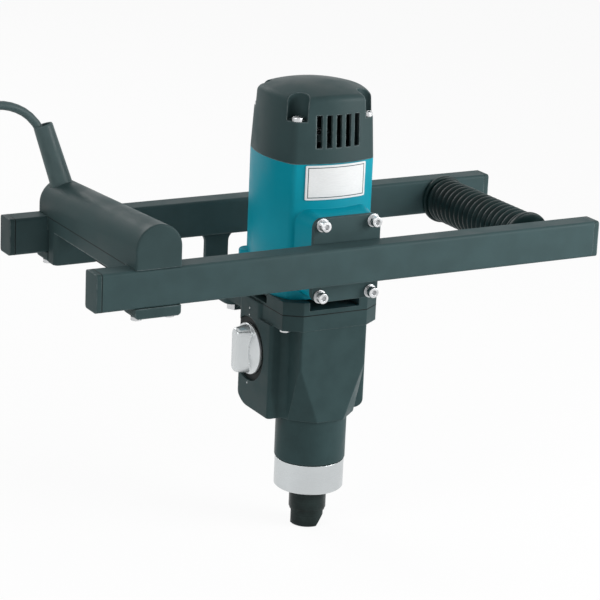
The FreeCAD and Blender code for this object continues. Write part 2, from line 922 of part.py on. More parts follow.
def gear_housing():
    """Cast housing with flange, ears, nose and neck, hollow for the gears."""
    flange = flange_plan(flange_bottom, housing_top)
    ears = []
    for side in (-1, 1):
        x = side * foot_bolt_x
        ear_end = ear_rear - ear_half_width
        ears.append(
            block(x - ear_half_width, x + ear_half_width, cavity_rear, ear_end, flange_bottom, housing_top)
        )
        ears.append(post(x, ear_end, flange_bottom, housing_top, ear_half_width))
    corners = []
    for side in (-1, 1):
        x = side * (nose_half + front_flute)
        ends = sorted((side * (nose_half - 1), x))
        filled = block(ends[0], ends[1], -body_step - front_flute, 0, body_bottom, flange_bottom)
        hollow = post(x, -body_step - front_flute, body_bottom - 1, flange_bottom + 1, front_flute)
        corners.append(filled.cut(hollow))
    cheek = rounded_box(
        on_xy, -body_half, 0, cheek_front, body_rear, body_corner, flange_bottom - 1, housing_top
    )
    neck = post(0, 0, neck_bottom, nose_cavity_floor, neck_radius)
    neck = neck.makeChamfer(
        neck_chamfer, [e for e in neck.Edges if abs(e.CenterOfMass.z - neck_bottom) < 0.01]
    )
    shape = join([flange, rear_body(), cheek, housing_nose(), neck] + corners + ears)

    cavity = rounded_box(
        on_xy,
        -cavity_half,
        cavity_half,
        -cavity_front,
        cavity_rear,
        cavity_corner,
        gear_floor,
        housing_top + 1,
    )
    bearing_floor = gear_floor - layshaft_bearing_height
    knob_hole = knob_shaft_radius + running_clearance
    cuts = [
        cavity,
        post(0, 0, nose_cavity_floor, housing_top + 1, nose_cavity_radius),
        post(0, 0, neck_bottom - 1, nose_cavity_floor + 1, spindle_shoulder_radius + 1.0),
        post(0, 0, neck_bottom - 1, lower_bearing_z + lower_bearing_height, lower_bearing_radius),
        post(layshaft_x, layshaft_y, bearing_floor, gear_floor + 1, layshaft_bearing_radius),
        post(fork_rod_x, fork_rod_y, gear_floor - fork_rod_seat, gear_floor + 1, fork_rod_radius),
        rod(V(-body_half - 1, knob_y, knob_z), X_AXIS, knob_recess_radius, 1 + knob_recess_depth),
        rod(V(-body_half, knob_y, knob_z), X_AXIS, knob_hole, body_half - cavity_half + 4),
    ]
    for side in (-1, 1):
        cuts.append(post(side * rear_screw_x, rear_screw_y, body_bottom - 1, flange_bottom, rear_flute))
    for x, y in housing_screw_places():
        cuts.append(post(x, y, flange_bottom - 1, screw_seat, housing_screw_head_radius + screw_clearance))
        cuts.append(post(x, y, flange_bottom - 1, housing_top + 1, housing_screw_radius + screw_clearance))
    for side in (-1, 1):
        x = side * foot_bolt_x
        cuts.append(
            post(x, foot_bolt_y, flange_bottom - 1, housing_top + 1, foot_bolt_radius + screw_clearance)
        )
    return shape.cut(cuts)


def gear_housing_screws():
    """Four cap screws from below through the flange into the bearing plate."""
    screws = []
    for x, y in housing_screw_places():
        head = post(x, y, screw_seat - housing_screw_head_height, screw_seat, housing_screw_head_radius)
        socket = hex_prism(V(x, y, screw_seat - housing_screw_head_height - 1), Z_AXIS, hex_socket, 3)
        shank = post(x, y, screw_seat, screw_seat + housing_screw_length, housing_screw_radius)
        screws.append(join([head.cut(socket), shank]))
    return Part.makeCompound(screws)


def collar():
    """Aluminium clamping collar with a spigot in the neck and a pocket for the seal."""
    seal_floor = neck_bottom + 1.5
    outer = [
        (collar_bore_radius, collar_bottom),
        (collar_radius - 1, collar_bottom),
        (collar_radius, collar_bottom + 1),
        (collar_radius, neck_bottom),
        (lower_bearing_radius - running_clearance, neck_bottom),
        (lower_bearing_radius - running_clearance, lower_bearing_z),
        (seal_radius, lower_bearing_z),
        (seal_radius, seal_floor),
        (collar_bore_radius, seal_floor),
    ]
    return turned(outer, V(0, 0, 0))


def oil_seal():
    """Lip seal in the collar."""
    z = neck_bottom + 1.5
    return ring(0, 0, z, z + seal_height, seal_radius, spindle_journal_radius + running_clearance)


def knob_base():
    """Plate in the recess under the knob, trimmed to the housing's corner."""
    start = V(-body_half + knob_recess_depth - knob_base_thickness, knob_y, knob_z)
    disc = rod(start, X_AXIS, knob_recess_radius - screw_clearance, knob_base_thickness)
    disc = disc.cut(
        rod(start - X_AXIS, X_AXIS, knob_shaft_radius + loose_clearance, knob_base_thickness + 2)
    )
    return disc.common(rear_body())


def speed_knob():
    """Coned disc with a grip bar across it, with its shaft and the crank pin that lifts the fork."""
    back = -body_half + knob_recess_depth - knob_base_thickness - loose_clearance
    foot = back - knob_disc_thickness
    crown = back - knob_reach
    profile = [(0, 0), (knob_disc_radius, 0), (knob_disc_radius, knob_rim)]
    profile += [(knob_hub_radius, knob_disc_thickness), (0, knob_disc_thickness)]
    disc = turned(profile, V(back, knob_y, knob_z), V(-1, 0, 0))
    sections = []
    for width, height, x in (
        (knob_width, knob_height, back - knob_rim / 2), (knob_top_width, knob_top_height, crown)
    ):
        low = knob_z - height / 2
        left = knob_y - width / 2
        sections.append(rounded_wire(on_yz, left, left + width, low, low + height, width / 2 - 0.5, x))
    grip = Part.makeLoft(sections, True, True)
    grip = grip.makeFillet(
        knob_crown_round, [e for e in grip.Edges if abs(e.CenterOfMass.x - crown) < 0.01]
    )
    inner_end = -cavity_half - screw_clearance
    shaft = rod(V(foot, knob_y, knob_z), X_AXIS, knob_shaft_radius, inner_end - foot)
    pin = rod(V(inner_end - 1, knob_y, knob_z - shift_crank), X_AXIS, shift_pin_radius, 4.0)
    return join([disc, grip, shaft, pin])


def fork_rod():
    """Guide rod of the shift fork, from the floor to the bearing plate."""
    return post(fork_rod_x, fork_rod_y, gear_floor - fork_rod_seat, housing_top + 3, fork_rod_radius)


def fork_spring():
    """Light spring round the guide rod that carries the fork."""
    radius = fork_rod_radius + fork_spring_wire + fork_spring_play
    length = fork_z - fork_hub_drop - gear_floor - 2 * fork_spring_wire
    pitch = length / fork_spring_turns
    start = V(fork_rod_x + radius, fork_rod_y, gear_floor + fork_spring_wire)
    inward = V(-1, 0, 0)
    edges = helix_edges(start, inward, Z_AXIS, radius, pitch, fork_spring_turns)
    print_gap("fork spring", edges, fork_spring_wire, math.pi * radius)
    return tube_along(edges, start, helix_tangent(inward, Z_AXIS, radius, pitch, 0), fork_spring_wire)


def shift_fork():
    """Fork in the sleeve's groove, with a hub on the rod and a slot for the crank pin."""
    z1 = fork_z + fork_thickness
    inner = sleeve_groove_radius + loose_clearance
    outer = inner + fork_band
    half_ring = ring(0, 0, fork_z, z1, outer, inner).cut(
        block(0, 2 * outer, -2 * outer, 2 * outer, fork_z - 1, z1 + 1)
    )
    reach = math.hypot(fork_rod_x, fork_rod_y)
    arm = block(inner + 1, reach, -fork_arm_half, fork_arm_half, fork_z, z1)
    arm.rotate(V(0, 0, 0), Z_AXIS, math.degrees(math.atan2(fork_rod_y, fork_rod_x)))
    hub = post(fork_rod_x, fork_rod_y, fork_z - fork_hub_drop, z1 + fork_hub_rise, fork_hub_radius)
    slot_z = knob_z - shift_crank
    left = -cavity_half + 0.6
    pad_rear = knob_y + fork_pad_rear
    pad = block(
        left,
        fork_rod_x - 4,
        knob_y - fork_pad_front,
        pad_rear,
        slot_z - fork_pad_half,
        slot_z + fork_pad_half,
    )
    play = shift_pin_radius + fork_slot_play
    slot_rear = knob_y + fork_slot_rear
    slot = block(
        left - 1, left + fork_slot_depth, knob_y - fork_slot_front, slot_rear, slot_z - play, slot_z + play
    )
    shape = join([half_ring, arm, hub, pad])
    bore = post(fork_rod_x, fork_rod_y, fork_z - 20, z1 + 20, fork_rod_radius + running_clearance)
    return shape.cut(bore).cut(slot)


# Gears and shafts
def spindle():
    """Output spindle with the tool thread, wrench flats, journals and splines."""
    top = first_stage_z + upper_bearing_height + 1
    gear_start = low_gear_z - 1
    shoulder = lower_bearing_z + lower_bearing_height
    profile = [
        (0, thread_depth),
        (thread_bore_radius, thread_depth),
        (thread_bore_radius, 0),
        (spindle_end_radius - 1, 0),
        (spindle_end_radius, 1),
        (spindle_end_radius, spindle_end_length),
        (spindle_radius, spindle_end_length),
        (spindle_radius, collar_bottom + 2.3),
        (spindle_journal_radius, collar_bottom + 2.3),
        (spindle_journal_radius, shoulder + 0.3),
        (spindle_shoulder_radius, shoulder + 0.3),
        (spindle_shoulder_radius, shoulder + 6),
        (spindle_journal_radius, shoulder + 6),
        (spindle_journal_radius, gear_start),
        (spindle_gear_radius, gear_start),
        (spindle_gear_radius, high_gear_z + high_gear_width + 0.5),
        (spindle_top_radius, high_gear_z + high_gear_width + 0.5),
        (spindle_top_radius, top),
        (0, top),
    ]
    shape = turned(profile, V(0, 0, 0))
    edge = spindle_flats / 2
    cuts = []
    for side in (-1, 1):
        x = side * (edge + 5)
        cuts.append(block(x - 5, x + 5, -20, 20, -1, spindle_end_length - 2))
    slant = (
        (edge - spindle_cut_depth, 0),
        (edge + 3, 0),
        (edge + 3, spindle_cut_height),
        (edge, spindle_cut_height),
    )
    cuts.append(polygon_prism(on_xz, slant, -20, 20))
    for cut in cuts:
        cut.rotate(V(0, 0, 0), Z_AXIS, spindle_flat_turn)
    shape = shape.cut(cuts)
    groove = block(
        spindle_gear_radius - spline_depth,
        15,
        -spline_width / 2,
        spline_width / 2,
        sleeve_z - 1,
        high_gear_z - 0.5,
    )
    return shape.cut(around(groove, dog_count, V(0, 0, 0)))


def second_stage_aim():
    """Angle from the spindle to the layshaft."""
    return math.atan2(layshaft_y, layshaft_x)


def dog_shape(z0, z1, play):
    """One dog of the sleeve, or with play the pocket for it."""
    inner = spindle_gear_radius + 1.5 - play
    outer = sleeve_radius - 1 + play
    sector = ring(0, 0, z0, z1, outer, inner).common(
        block(inner - 1, outer + 1, -2.5 - play, 2.5 + play, z0 - 1, z1 + 1)
    )
    sector.rotate(V(0, 0, 0), Z_AXIS, 45)
    return sector


def low_gear():
    """Large gear at the lower end of the shift sleeve, with pockets for its dogs."""
    aim = second_stage_aim() + math.pi / low_gear_teeth
    shape = gear(
        0,
        0,
        low_gear_z,
        low_gear_width,
        low_gear_teeth,
        second_module,
        0.68 * second_module,
        1.25 * second_module,
        aim,
    )
    shape = shape.cut(post(0, 0, low_gear_z - 1, low_gear_z + low_gear_width + 1, spindle_gear_radius))
    pocket = dog_shape(sleeve_z - dog_height - 0.5, sleeve_z + 1, 0.3)
    return shape.cut(around(pocket, dog_count, V(0, 0, 0)))


def high_gear():
    """Small gear that turns freely on the spindle, with a round recess for the sleeve's cone."""
    aim = second_stage_aim() + math.pi / high_gear_teeth
    shape = gear(
        0,
        0,
        high_gear_z,
        high_gear_width,
        high_gear_teeth,
        second_module,
        0.85 * second_module,
        1.25 * second_module,
        aim,
    )
    bore = post(
        0, 0, high_gear_z - 1, high_gear_z + high_gear_width + 1, spindle_gear_radius + running_clearance
    )
    recess = post(0, 0, high_gear_z - 1, high_gear_z + cone_height + 0.6, sleeve_radius - 1.2)
    return shape.cut(bore).cut(recess)


def shift_sleeve():
    """Sleeve that slides on the spindle's splines, with a fork groove, dogs below and a cone above."""
    bore = spindle_gear_radius + running_clearance
    top = sleeve_z + sleeve_length
    middle = sleeve_z + sleeve_length / 2
    body = turned(
        [
            (bore, sleeve_z),
            (sleeve_radius, sleeve_z),
            (sleeve_radius, middle - sleeve_groove_width / 2),
            (sleeve_groove_radius, middle - sleeve_groove_width / 2),
            (sleeve_groove_radius, middle + sleeve_groove_width / 2),
            (sleeve_radius, middle + sleeve_groove_width / 2),
            (sleeve_radius, top),
            (sleeve_radius - 1.8, top),
            (sleeve_radius - 3.0, top + cone_height),
            (bore, top + cone_height),
        ],
        V(0, 0, 0),
    )
    key_half = spline_width / 2 - running_clearance
    key = block(
        spindle_gear_radius - spline_depth + running_clearance, bore + 1, -key_half, key_half, sleeve_z, top
    )
    dog = dog_shape(sleeve_z - dog_height, sleeve_z + 0.5, 0)
    return join([body] + around(key, dog_count, V(0, 0, 0)) + around(dog, dog_count, V(0, 0, 0)))


def layshaft():
    """Layshaft with the two pinions of the second stage cut on it."""
    x = layshaft_x
    y = layshaft_y
    aim = second_stage_aim() + math.pi
    low = gear(
        x,
        y,
        low_gear_z - 1,
        low_gear_width + 2,
        low_pinion_teeth,
        second_module,
        second_module,
        1.0 * second_module,
        aim,
    )
    high = gear(
        x,
        y,
        high_gear_z - 1,
        high_gear_width + 2,
        high_pinion_teeth,
        second_module,
        0.85 * second_module,
        1.25 * second_module,
        aim,
    )
    shaft = post(x, y, gear_floor + 0.3, housing_top - 0.3, layshaft_radius)
    journal = post(
        x,
        y,
        gear_floor - layshaft_bearing_height,
        housing_top + layshaft_bearing_height,
        layshaft_journal_radius,
    )
    return join([shaft, low, high, journal])


def first_stage_aim():
    """Angle from the motor axis to the layshaft."""
    return math.atan2(layshaft_y - motor_offset, layshaft_x)


def layshaft_gear():
    """Large gear of the first stage, pressed on the layshaft."""
    aim = first_stage_aim() + math.pi + math.pi / layshaft_gear_teeth
    shape = gear(
        layshaft_x,
        layshaft_y,
        first_stage_z,
        layshaft_gear_width,
        layshaft_gear_teeth,
        first_module,
        0.42 * first_module,
        1.25 * first_module,
        aim,
    )
    return shape.cut(post(layshaft_x, layshaft_y, first_stage_z - 1, housing_top, layshaft_radius))


def layshaft_bearings():
    """The two equal bearings of the layshaft."""
    low = bearing(
        layshaft_x,
        layshaft_y,
        gear_floor - layshaft_bearing_height,
        layshaft_bearing_radius,
        layshaft_journal_radius,
        layshaft_bearing_height,
    )
    high = low.copy()
    high.translate(V(0, 0, housing_top - gear_floor + layshaft_bearing_height))
    return Part.makeCompound([low, high])


def spindle_lower_bearing():
    """Main bearing of the spindle in the neck."""
    return bearing(
        0, 0, lower_bearing_z, lower_bearing_radius, spindle_journal_radius, lower_bearing_height
    )


def spindle_upper_bearing():
    """Small bearing at the upper end of the spindle."""
    return bearing(0, 0, first_stage_z, upper_bearing_radius, spindle_top_radius, upper_bearing_height)


# Motor
def bearing_plate():
    """Plate between the housings, with the bearing seats and the exhaust openings."""
    y = motor_offset
    web_top = housing_top + bearing_plate_web
    bearing_top = motor_bearing_z + motor_bearing_height
    shape = flange_plan(housing_top, motor_bottom)
    half = fan_room_half
    vent_top = motor_bottom - vent_lip
    room = rounded_box(on_xy, -half, half, y - half, y + half, motor_corner, web_top, motor_bottom + 1)
    seat_top = housing_top + layshaft_bearing_height
    boss_top = seat_top + 3
    upper_seat = upper_bearing_radius + 2.2
    solids = [
        shape.cut(room),
        post(0, y, housing_top, bearing_top, motor_bearing_radius + 3.5),
        post(layshaft_x, layshaft_y, housing_top, boss_top, layshaft_bearing_radius + 3),
        post(0, 0, first_stage_z, housing_top, upper_seat),
    ]
    shaft_hole = pinion_teeth * first_module / 2 + first_module + 1.0
    cuts = [
        post(0, y, housing_top - 1, bearing_top + 1, shaft_hole),
        post(0, y, motor_bearing_z, bearing_top + 1, motor_bearing_radius),
        post(layshaft_x, layshaft_y, housing_top - 1, seat_top, layshaft_bearing_radius),
        post(0, 0, first_stage_z - 1, first_stage_z + upper_bearing_height, upper_bearing_radius),
        post(0, 0, first_stage_z - 1, first_stage_z + upper_bearing_height + 3, spindle_top_radius + 2),
        post(fork_rod_x, fork_rod_y, housing_top - 1, housing_top + 3, fork_rod_radius),
        block(exhaust_left, exhaust_right, -flange_front - 1, y - half + 1, web_top, motor_bottom + 1),
    ]
    for side in (-1, 1):
        ends = sorted((side * (half - 1), side * (flange_half + 1)))
        cuts.append(
            block(ends[0], ends[1], side_vent_front, side_vent_rear, housing_top + side_vent_lift, vent_top)
        )
    for sx, sy in housing_screw_places():
        solids.append(post(sx, sy, housing_top, motor_bottom, housing_screw_radius + 2.2).common(shape))
        cuts.append(post(sx, sy, housing_top - 1, screw_seat + housing_screw_length, housing_screw_radius))
    return join(solids).cut(cuts)


def column_places():
    """Centres of the four corner columns and cover screws."""
    return [(sx * pocket_centre, motor_offset + sy * pocket_centre) for sx in (-1, 1) for sy in (-1, 1)]


def motor_housing():
    """Motor housing with the front boss, rear feet, stator seats and ledges for the bearing bridge."""
    y = motor_offset
    outer = motor_form(0, motor_bottom, motor_top)
    inner = motor_form(motor_wall, motor_bottom - 1, motor_top + 1)
    boss_half = bracket_width / 2 - 1
    boss_low = bracket_mid_z - bracket_height / 2 + 1
    boss_high = bracket_mid_z + bracket_height / 2 - 1
    face = rounded_wire(
        on_xz, -boss_half, boss_half, boss_low, boss_high, bracket_corner, front_inner + bracket_thickness
    )
    root = rounded_wire(
        on_xz,
        -boss_half - boss_flare,
        boss_half + boss_flare,
        boss_low,
        boss_high + boss_flare,
        bracket_corner + boss_flare,
        motor_front + 2 * motor_wall,
    )
    boss = Part.makeLoft([face, root], True, True).cut(inner)
    solids = [outer.cut(inner), boss]
    for side in (-1, 1):
        foot = post(
            side * foot_boss_x, foot_boss_y, motor_bottom, motor_bottom + foot_boss_height, foot_boss_radius
        )
        top = [e for e in foot.Edges if abs(e.CenterOfMass.z - motor_bottom - foot_boss_height) < 0.01]
        solids.append(foot.makeFillet(2.0, top).cut(inner))
        edge = sorted((side * (motor_inner + 0.5), side * (bridge_radius - bridge_ledge)))
        solids.append(
            block(edge[0], edge[1], y - ledge_half, y + ledge_half, motor_top - ledge_height, motor_top)
        )
        solids.append(
            block(-ledge_half, ledge_half, y + edge[0], y + edge[1], motor_top - ledge_height, motor_top)
        )
    core_top = armature_z + armature_length
    bore = post(0, y, armature_z - 1, core_top + 1, stator_radius)
    for z0 in (armature_z, core_top - stator_seat):
        solids.append(motor_form(motor_wall / 2, z0, z0 + stator_seat).cut(bore))
    column_bottom = motor_top + pocket_floor - cover_screw_length - 3
    for cx, cy in column_places():
        column = post(cx, cy, column_bottom, motor_top, cover_screw_radius + 3)
        solids.append(column.common(outer))
    shape = join(solids)
    cuts = [
        post(cx, cy, column_bottom + 3, motor_top + 1, cover_screw_radius) for cx, cy in column_places()
    ]
    bolt_end = front_inner - flat_washer_thickness - spring_washer_thickness + bracket_bolt_length
    for bx, bz in bracket_bolt_places():
        cuts.append(rod(V(bx, front_inner, bz), Y_AXIS, bracket_bolt_radius, bolt_end - front_inner))
    return shape.cut(cuts)


def rating_plate():
    """Blank plate that follows the bowed front of the motor housing."""
    top = motor_top - plate_top_gap
    window = rounded_box(
        on_xz,
        plate_mid_x - plate_width / 2,
        plate_mid_x + plate_width / 2,
        top - plate_height,
        top,
        1.0,
        motor_front - 5,
        motor_offset,
    )
    low = top - plate_height
    skin = motor_form(-plate_glue - plate_thickness, low - 1, top + 1).cut(
        motor_form(-plate_glue, low - 2, top + 2)
    )
    return skin.common(window)


def cover_form(inset, dome_top, z0):
    """Tapered bowed block with a domed top, outside or inside of the cover."""
    z1 = cover_top + 6
    low = bulged_wire(motor_half - inset, motor_side_radius - inset, motor_corner, z0)
    top_inset = inset + cover_taper
    high = bulged_wire(motor_half - top_inset, motor_side_radius - top_inset, motor_corner, z1)
    block_form = Part.makeLoft([low, high], True, True)
    return block_form.common(
        Part.makeSphere(cover_dome_radius, V(0, motor_offset, dome_top - cover_dome_radius))
    )


def top_cover():
    """Domed cover with four screw pockets and two rows of vents."""
    y = motor_offset
    outer = cover_form(0, cover_top, motor_top)
    rim = [
        e
        for e in outer.Edges
        if min(v.Z for v in e.Vertexes) > motor_top + pocket_floor and e.BoundBox.ZLength < 8
    ]
    outer = outer.makeFillet(cover_edge_round, rim)
    inner = cover_form(cover_wall, cover_top - cover_wall, motor_top - 1)
    columns = [
        post(cx, cy, motor_top, cover_top, pocket_radius + pocket_wall).common(outer)
        for cx, cy in column_places()
    ]
    shape = join([outer.cut(inner)] + columns)
    cuts = []
    floor = motor_top + pocket_floor
    for cx, cy in column_places():
        cuts.append(post(cx, cy, floor, cover_top + 5, pocket_radius))
        cuts.append(post(cx, cy, motor_top - 1, floor + 1, cover_screw_radius + screw_clearance))
    for index in range(vent_count):
        left = vent_mid_x + (index - (vent_count - 1) / 2) * vent_pitch - vent_width / 2
        z = motor_top + vent_lift
        for face in (y - motor_half, y + motor_half):
            reach = 4 * cover_wall
            cuts.append(block(left, left + vent_width, face - reach, face + reach, z, z + vent_height))
    return shape.cut(cuts)


def cover_screws():
    """Four pan head screws in the cover's pockets."""
    floor = motor_top + pocket_floor
    screws = []
    for cx, cy in column_places():
        head = post(cx, cy, floor, floor + cover_screw_head_height, cover_screw_head_radius)
        head = head.makeFillet(
            1.2, [e for e in head.Edges if e.CenterOfMass.z > floor + cover_screw_head_height - 0.01]
        )
        slot = block(cx - 6, cx + 6, cy - 0.6, cy + 0.6, floor + cover_screw_head_height - 1.4, floor + 10)
        shank = post(cx, cy, floor - cover_screw_length, floor, cover_screw_radius)
        screws.append(join([head.cut(slot), shank]))
    return Part.makeCompound(screws)


def bearing_bridge():
    """Bridge on the motor housing that carries the upper armature bearing."""
    y = motor_offset
    cup_bottom = bridge_bearing_z - 3
    cup_top = bridge_bearing_z + motor_bearing_height
    rim = ring(0, y, motor_top, motor_top + bridge_thickness, bridge_radius, bridge_radius - bridge_band)
    cup = post(0, y, cup_bottom, cup_top, motor_bearing_radius + 3)
    arm = block(
        motor_bearing_radius,
        bridge_radius - 1,
        y - bridge_arm_half,
        y + bridge_arm_half,
        motor_top,
        cup_bottom + bridge_thickness,
    )
    tab = block(
        bridge_radius - 2,
        motor_inner - 2,
        y - bridge_tab_half,
        y + bridge_tab_half,
        motor_top,
        motor_top + bridge_thickness,
    )
    shape = join([rim, cup] + around(join([arm, tab]), 4, V(0, y, 0)))
    seat = post(0, y, bridge_bearing_z, cup_top + 1, motor_bearing_radius)
    hole = post(0, y, motor_top - 1, cup_top, motor_bearing_bore + 3)
    return shape.cut([seat, hole])


def motor_bearings():
    """The two equal bearings of the armature shaft."""
    low = bearing(
        0, motor_offset, motor_bearing_z, motor_bearing_radius, motor_bearing_bore, motor_bearing_height
    )
    high = low.copy()
    high.translate(V(0, 0, bridge_bearing_z - motor_bearing_z))
    return Part.makeCompound([low, high])


def armature_shaft():
    """Armature shaft with the pinion cut on its lower end."""
    y = motor_offset
    pinion_bottom = first_stage_z - 1
    pinion = gear(
        0,
        y,
        pinion_bottom,
        pinion_length,
        pinion_teeth,
        first_module,
        first_module,
        0.8 * first_module,
        first_stage_aim(),
    )
    middle_bottom = motor_bearing_z + motor_bearing_height + 0.5
    low = post(0, y, pinion_bottom + pinion_length, middle_bottom, motor_bearing_bore)
    middle = post(0, y, middle_bottom, bridge_bearing_z - 0.5, armature_shaft_radius)
    high = post(
        0, y, bridge_bearing_z - 0.5, bridge_bearing_z + motor_bearing_height + 1, motor_bearing_bore
    )
    return join([pinion, low, middle, high])


def armature_core():
    """Laminated armature core with its slots."""
    y = motor_offset
    z1 = armature_z + armature_length
    shape = ring(0, y, armature_z, z1, armature_radius, armature_shaft_radius)
    slot = block(armature_radius - 8, armature_radius + 1, y - 1.5, y + 1.5, armature_z - 1, z1 + 1)
    return shape.cut(around(slot, armature_slots, V(0, y, 0)))


def armature_windings():
    """Winding heads at both ends of the armature core."""
    y = motor_offset
    heads = []
    for z0, z1 in (
        (armature_z - winding_overhang, armature_z),
        (armature_z + armature_length, armature_z + armature_length + winding_overhang),
    ):
        heads.append(ring(0, y, z0, z1, winding_radius, armature_shaft_radius))
    return Part.makeCompound(heads)


def commutator():
    """Commutator with its bars."""
    y = motor_offset
    z1 = commutator_z + commutator_length
    shape = ring(0, y, commutator_z, z1, commutator_radius, armature_shaft_radius)
    slot = block(commutator_radius - 1, commutator_radius + 1, y - 0.3, y + 0.3, commutator_z - 1, z1 + 1)
    return shape.cut(around(slot, commutator_bars, V(0, y, 0)))


def cooling_fan():
    """Radial fan between the lower bearing and the armature core."""
    y = motor_offset
    z0 = motor_bearing_z + motor_bearing_height + fan_gap
    z1 = z0 + fan_height
    disc = post(0, y, z0, z0 + 2, fan_radius)
    hub = post(0, y, z0, z1, armature_shaft_radius + 4)
    blade = block(armature_shaft_radius + 3, fan_radius - 0.5, y - 0.8, y + 0.8, z0, z1)
    shape = join([disc, hub] + around(blade, fan_blades, V(0, y, 0)))
    return shape.cut(post(0, y, z0 - 1, z1 + 1, armature_shaft_radius))


def coil_window(inner, outer, half_angle, z0, z1):
    """Upright ring sector round the motor axis, on the right side."""
    y = motor_offset
    a = math.radians(half_angle)
    far_x = 2 * outer * math.cos(a)
    far_y = 2 * outer * math.sin(a)
    wedge = polygon_prism(on_xy, ((0, y), (far_x, y - far_y), (far_x, y + far_y)), z0, z1)
    return ring(0, y, z0, z1, outer, inner).common(wedge)


def stator_core():
    """Laminated stator core with two poles and two coil spaces."""
    y = motor_offset
    z1 = armature_z + armature_length
    shape = ring(0, y, armature_z, z1, stator_radius, stator_bore)
    space = coil_window(
        stator_bore - 1, stator_bore + coil_thickness + 1.2, coil_angle + 2, armature_z - 1, z1 + 1
    )
    return shape.cut([space, mirrored_x(space)])


def field_coils():
    """Two field coils in the stator's spaces."""
    coil = coil_window(
        stator_bore + 0.6,
        stator_bore + coil_thickness + 1.2,
        coil_angle,
        armature_z - coil_overhang,
        armature_z + armature_length + coil_overhang,
    )
    return Part.makeCompound([coil, mirrored_x(coil)])


def brush_axis_z():
    """Height of the brushes at the middle of the commutator."""
    return commutator_z + commutator_length / 2


def brush_holders():
    """Two brass holders on the side walls of the motor housing."""
    y = motor_offset
    z = brush_axis_z()
    half_y = brush_width / 2 + running_clearance
    half_z = brush_thickness / 2 + running_clearance
    inner = commutator_radius + 3
    body = block(
        inner,
        motor_inner - 0.3,
        y - half_y - holder_wall,
        y + half_y + holder_wall,
        z - half_z - holder_wall,
        z + half_z + holder_wall,
    )
    holder = body.cut(block(inner - 1, motor_inner - 1.5, y - half_y, y + half_y, z - half_z, z + half_z))
    return Part.makeCompound([holder, mirrored_x(holder)])


def carbon_brushes():
    """Two carbon brushes in their holders."""
    y = motor_offset
    z = brush_axis_z()
    start = commutator_radius + brush_gap
    brush = block(
        start,
        start + brush_length,
        y - brush_width / 2,
        y + brush_width / 2,
        z - brush_thickness / 2,
        z + brush_thickness / 2,
    )
    return Part.makeCompound([brush, mirrored_x(brush)])


# Switch handle
def clamp_screw_places():
    """Places along X of the clamp screws."""
    spread = handle_half - clamp_screw_edge
    return (handle_x - spread, handle_x + spread)


def crown_at(y):
    """Height of the handle's crown, which falls towards the rear."""
    return handle_crown - handle_fall * (y - front_face) / (rear_face - front_face)


def handle_section(half, z0, inset, y):
    """D-shaped outline across the handle, set in from its crown."""
    crown = crown_at(y) - inset
    left = handle_x - half
    right = handle_x + half
    shoulder = crown - half
    p = [
        V(left, y, z0), V(right, y, z0), V(right, y, shoulder), V(handle_x, y, crown), V(left, y, shoulder)
    ]
    edges = [Part.LineSegment(p[0], p[1]).toShape(), Part.LineSegment(p[1], p[2]).toShape()]
    edges += [Part.Arc(p[2], p[3], p[4]).toShape(), Part.LineSegment(p[4], p[0]).toShape()]
    return Part.Wire(edges)


def handle_form(half, z0, inset, y0, y1):
    """D-shaped solid along Y under the falling crown."""
    return Part.makeLoft([handle_section(half, z0, inset, y) for y in (y0, y1)], True, True)


def handle_shell():
    """Handle body across both bars, hollow for the switch, with a leg inside each bar."""
    left = handle_x - handle_half
    right = handle_x + handle_half
    body = handle_form(handle_half, bar_top, 0, front_face, rear_face)
    for end, radius in ((rear_face, handle_end_round), (front_face, handle_edge_round)):
        rim = [
            e for e in body.Edges if abs(e.CenterOfMass.y - end) < 0.01 and e.CenterOfMass.z > bar_top + 1
        ]
        body = body.makeFillet(radius, rim)
    middle = block(left, right, front_inner, rear_inner, handle_under, bar_top)
    legs = []
    for y0, y1, foot in (
        (front_inner, front_inner + handle_leg, bar_bottom),
        (rear_inner - handle_leg, rear_inner, bar_bottom - handle_leg_drop),
    ):
        legs.append(rounded_box(on_xy, left, right, y0, y1, handle_leg_round, foot, handle_under + 1))
    shape = join([body, middle] + legs)
    room = handle_form(handle_half - handle_wall, handle_under - 1, handle_wall, room_front, room_rear)
    socket_start = guard_base - guard_direction * guard_socket
    cuts = [
        room,
        rod(socket_start, guard_direction, guard_base_radius + running_clearance, guard_length),
        rod(V(handle_x, button_y, handle_under + button_lift), X_AXIS, button_radius + loose_clearance, 40),
    ]
    for x in clamp_screw_places():
        for y in (front_bar_y, rear_bar_y):
            cuts.append(post(x, y, bar_top - 1, bar_top + clamp_screw_grip, clamp_screw_radius))
    return shape.cut(cuts)


def handle_base():
    """Plate under the handle's room, with the trigger opening and the pin lugs."""
    half = handle_half - handle_wall - running_clearance
    top = handle_under + handle_base_thickness
    plate = block(
        handle_x - half,
        handle_x + half,
        room_front + running_clearance,
        room_rear - running_clearance,
        handle_under,
        top,
    )
    play = 0.7
    opening = block(
        handle_x - trigger_half - play,
        handle_x + trigger_half + play,
        trigger_front - 1.5,
        trigger_pin_y + trigger_hub_radius + 1.5,
        handle_under - 1,
        top + 1,
    )
    shape = plate.cut(opening)
    lugs = []
    for side in (-1, 1):
        ends = sorted((handle_x + side * (trigger_half + play), handle_x + side * trigger_pin_half))
        lugs.append(
            block(ends[0], ends[1], trigger_pin_y - 4, trigger_pin_y + 4, top - 0.5, trigger_pin_z + 3.5)
        )
    pin = rod(
        V(handle_x - trigger_pin_half, trigger_pin_y, trigger_pin_z),
        X_AXIS,
        trigger_pin_radius,
        2 * trigger_pin_half,
    )
    return join([shape] + lugs).cut(pin)


